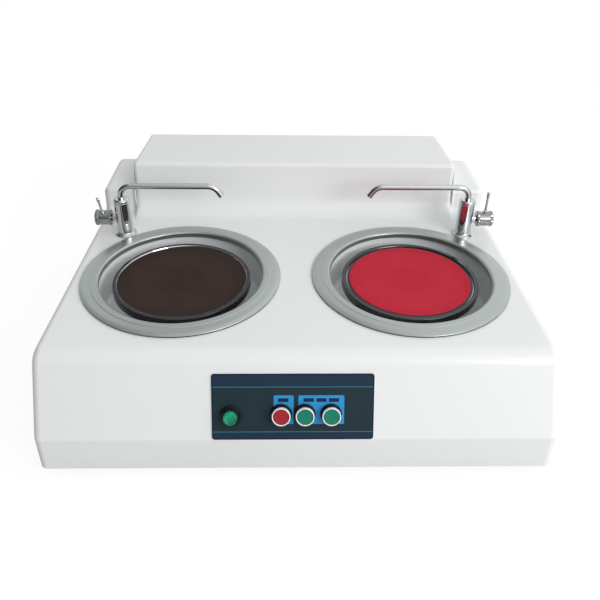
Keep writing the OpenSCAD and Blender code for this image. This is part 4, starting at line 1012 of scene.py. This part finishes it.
def bezelShape(v):
    # Black guard on the panel and bright ring round the cap, turned about Z
    base, hole, guard, r = v["thick"], v["holeR"] - fit, v["guardR"], v["bezelR"]
    low, top, bore, stem = base + v["labelT"], base + v["bezelTop"], v["bezelBore"], v["stemR"] + fit
    corners = [(stem, 0.0), (hole, 0.0), (hole, low), (guard, low), (guard, base + v["guardH"]),
               (r - 0.4, base + v["guardH"]), (r - 0.4, base + v["bezelFoot"]), (r, base + v["bezelFoot"]),
               (r, top), (bore, top), (bore, base + v["seat"]), (stem, base + v["seat"])]
    return lathe(rounded(corners, [0, 0, 0, 0.4, 1.2, 0.2, 0.1, 0.3, 0.8, 0.5, 0, 0], 5), 96)


def capShape(v):
    # Stem and head, turned about Z
    low, high, r, stem = v["thick"] + v["capLow"], v["thick"] + v["capTop"], v["capR"], v["stemR"]
    corners = [(0, 0.0), (stem, 0.0), (stem, low), (r, low), (r, high), (0, high - 0.5)]
    return lathe(rounded(corners, [0, 0.4, 0, 0.2, 0.7, 0], 5), 96)


def lampShapes(v):
    # Flared bezel and fluted lens, both turned about Z
    base, guard, hole, bore = v["thick"], v["guardR"], v["holeR"] - fit, v["lampBore"]
    low, high, top, r = base + v["lensLow"], base + v["lensTop"], base + v["lampTop"], v["lensR"]
    corners = [(0, 0.0), (hole, 0.0), (hole, base), (guard, base), (guard, base + 2.6), (12.7, base + 4.4),
               (12.4, top - 1.0), (11.6, top), (bore, top - 0.4), (bore, low), (0, low)]
    bezel = lathe(rounded(corners, [0, 0, 0, 0.4, 1.0, 1.4, 0.6, 0.4, 0.3, 0, 0], 5), 96)
    corners = [(0, low), (r, low), (r, high - 3.6), (7.8, high - 0.6), (5.2, high - 1.4), (0, high - 0.9)]
    lens = lathe(rounded(corners, [0, 0.2, 2.0, 1.2, 1.0, 0], 6), 144, v["lensFlutes"], 0.4, 6.6, 11)
    return bezel, lens


def brightRing(points):
    # Faces of the bezel that stand above the guard
    return (points - panelSpot) @ panelOut > panel["thick"] + 8.6


buildPanel(panel)
for (x, up), button, slotName in zip(buttonSpots, ("stop", "left_start", "right_start"),
                                     ("red_cap", "green_cap", "green_cap")):
    addPiece(button + "_bezel", onPanel(bezelShape(panel), x, up), "frame", "black",
             second=("bezel", brightRing))
    addPiece(button + "_cap", onPanel(capShape(panel), x, up), button + "_button", slotName)
for shape, node, slotName in zip(lampShapes(panel), ("lamp_bezel", "lamp_lens"), ("black", "lens")):
    addPiece(node, onPanel(shape, *lampSpot), "frame", slotName)
print("panel made")


# Round fittings that show outside are copied with smooth shading. Every other solid keeps its shape.

redress = ("rubber_feet", "base_screws", "water_inlet", "drain_outlet", "cable_gland")
slots = {entry["node"]: entry["material_slot"] for entry in frame["record"]["subparts"]}
bodyOf = {n: b for b, members in frame["record"]["behaviour"]["bodies"].items() for n in members}
for node in redress:
    mesh = nodes[node].data.copy()
    tidyMesh(mesh)
    mesh.materials.clear()
    addPiece(node, mesh, bodyOf[node], slots[node])
for node, item in nodes.items():
    item.data.materials.clear()
    item.data.materials.append(finishes[slots[node]])
print("solids dressed")


# Stage: floor, backdrop and light, in metres. Each light or dark part of the sky has a direction, the
# cosines from it at which it starts and is full, and its amount.

stage = {
    "floorSize": 9.0, "floorTones": (0.62, 0.66), "floorGlow": 1.12, "glowShare": 0.8, "skyBase": 0.30,
    "skyLights": (((0.68, -0.68, 0.12), 0.4, 0.9, 0.88), ((0.1, -0.4, 1), 0.45, 0.95, 0.66),
                  ((0.7, 0.9, 0.55), 0.6, 0.97, 0.78), ((-0.8, 0.75, 0.5), 0.75, 0.97, 0.6)),
    "skyDarks": (((-0.95, -0.25, 0.35), 0.35, 0.85, 0.75), ((-0.05, -1, 0.3), 0.78, 0.96, 0.3)),
    "keySpot": (1.38, -1.7, 1.2), "keyTarget": (0, 0, 0.15), "keySize": (1.1, 0.7), "keyPower": 19.5,
}


def buildFloor(v):
    # Pale floor that takes the shadow, and glows for the camera only
    half = v["floorSize"] / 2
    mesh = bpy.data.meshes.new("floor")
    mesh.from_pydata([(x, y, 0) for x, y in rectangle(-half, -half, half, half)], [], [(0, 1, 2, 3)])
    floor = inScene("floor", mesh)
    s = Shader("paleFloor")
    seen = s.add("ShaderNodeLightPath", out="Is Camera Ray")
    dim, pale = ((tone, tone, tone) for tone in v["floorTones"])
    s.surface(s.mix(s.noise(2.0, 2.0), dim, pale), 0.9)
    glow = s.add("ShaderNodeEmission", None, {"Color": colour((1, 1, 1)), "Strength": v["floorGlow"]})
    plain = Sock(s, s.end.inputs["Surface"].links[0].from_socket)
    s.close(s.add("ShaderNodeMixShader", None, {0: seen * v["glowShare"], 1: plain, 2: glow}))
    mesh.materials.append(s.material)


def buildSky(v):
    # Studio: an even room, brighter at the front right, above and behind at both sides, and darker at the
    # left and straight in front
    s = Shader("studio", True)
    bpy.context.scene.world = s.material

    def lobe(direction, low, high):
        way = np.array(direction, float) / np.linalg.norm(direction)
        facing = s.add("ShaderNodeVectorMath", {"operation": "DOT_PRODUCT"}, {0: s.place, 1: tuple(way)},
                       "Value")
        return facing.ramp(low, high)

    level = v["skyBase"]
    for direction, low, high, amount in v["skyLights"]:
        level = level + lobe(direction, low, high) * amount
    for direction, low, high, amount in v["skyDarks"]:
        level = level * (1 - lobe(direction, low, high) * amount)
    sky = s.add("ShaderNodeBackground", None, {"Color": colour((0.97, 0.985, 1.0)), "Strength": level})
    white = s.add("ShaderNodeBackground", None, {"Color": colour((1, 1, 1)), "Strength": 1.0})
    seen = s.add("ShaderNodeLightPath", out="Is Camera Ray")
    s.close(s.add("ShaderNodeMixShader", None, {0: seen, 1: sky, 2: white}))


def softbox(name, spot, target, size, power):
    # Rectangular lamp that faces the target
    data = bpy.data.lights.new(name, "AREA")
    data.shape, data.size, data.size_y, data.energy = "RECTANGLE", size[0], size[1], power
    spot, target = np.array(spot, float), np.array(target, float)
    back = (spot - target) / np.linalg.norm(spot - target)
    side = np.cross([0, 0, 1], back)
    side /= np.linalg.norm(side)
    inScene(name, data).matrix_world = turnTo(side, np.cross(back, side), back, spot)


buildFloor(stage)
buildSky(stage)
softbox("keyLight", stage["keySpot"], stage["keyTarget"], stage["keySize"], stage["keyPower"])
bpy.context.scene.view_settings.view_transform = "Standard"
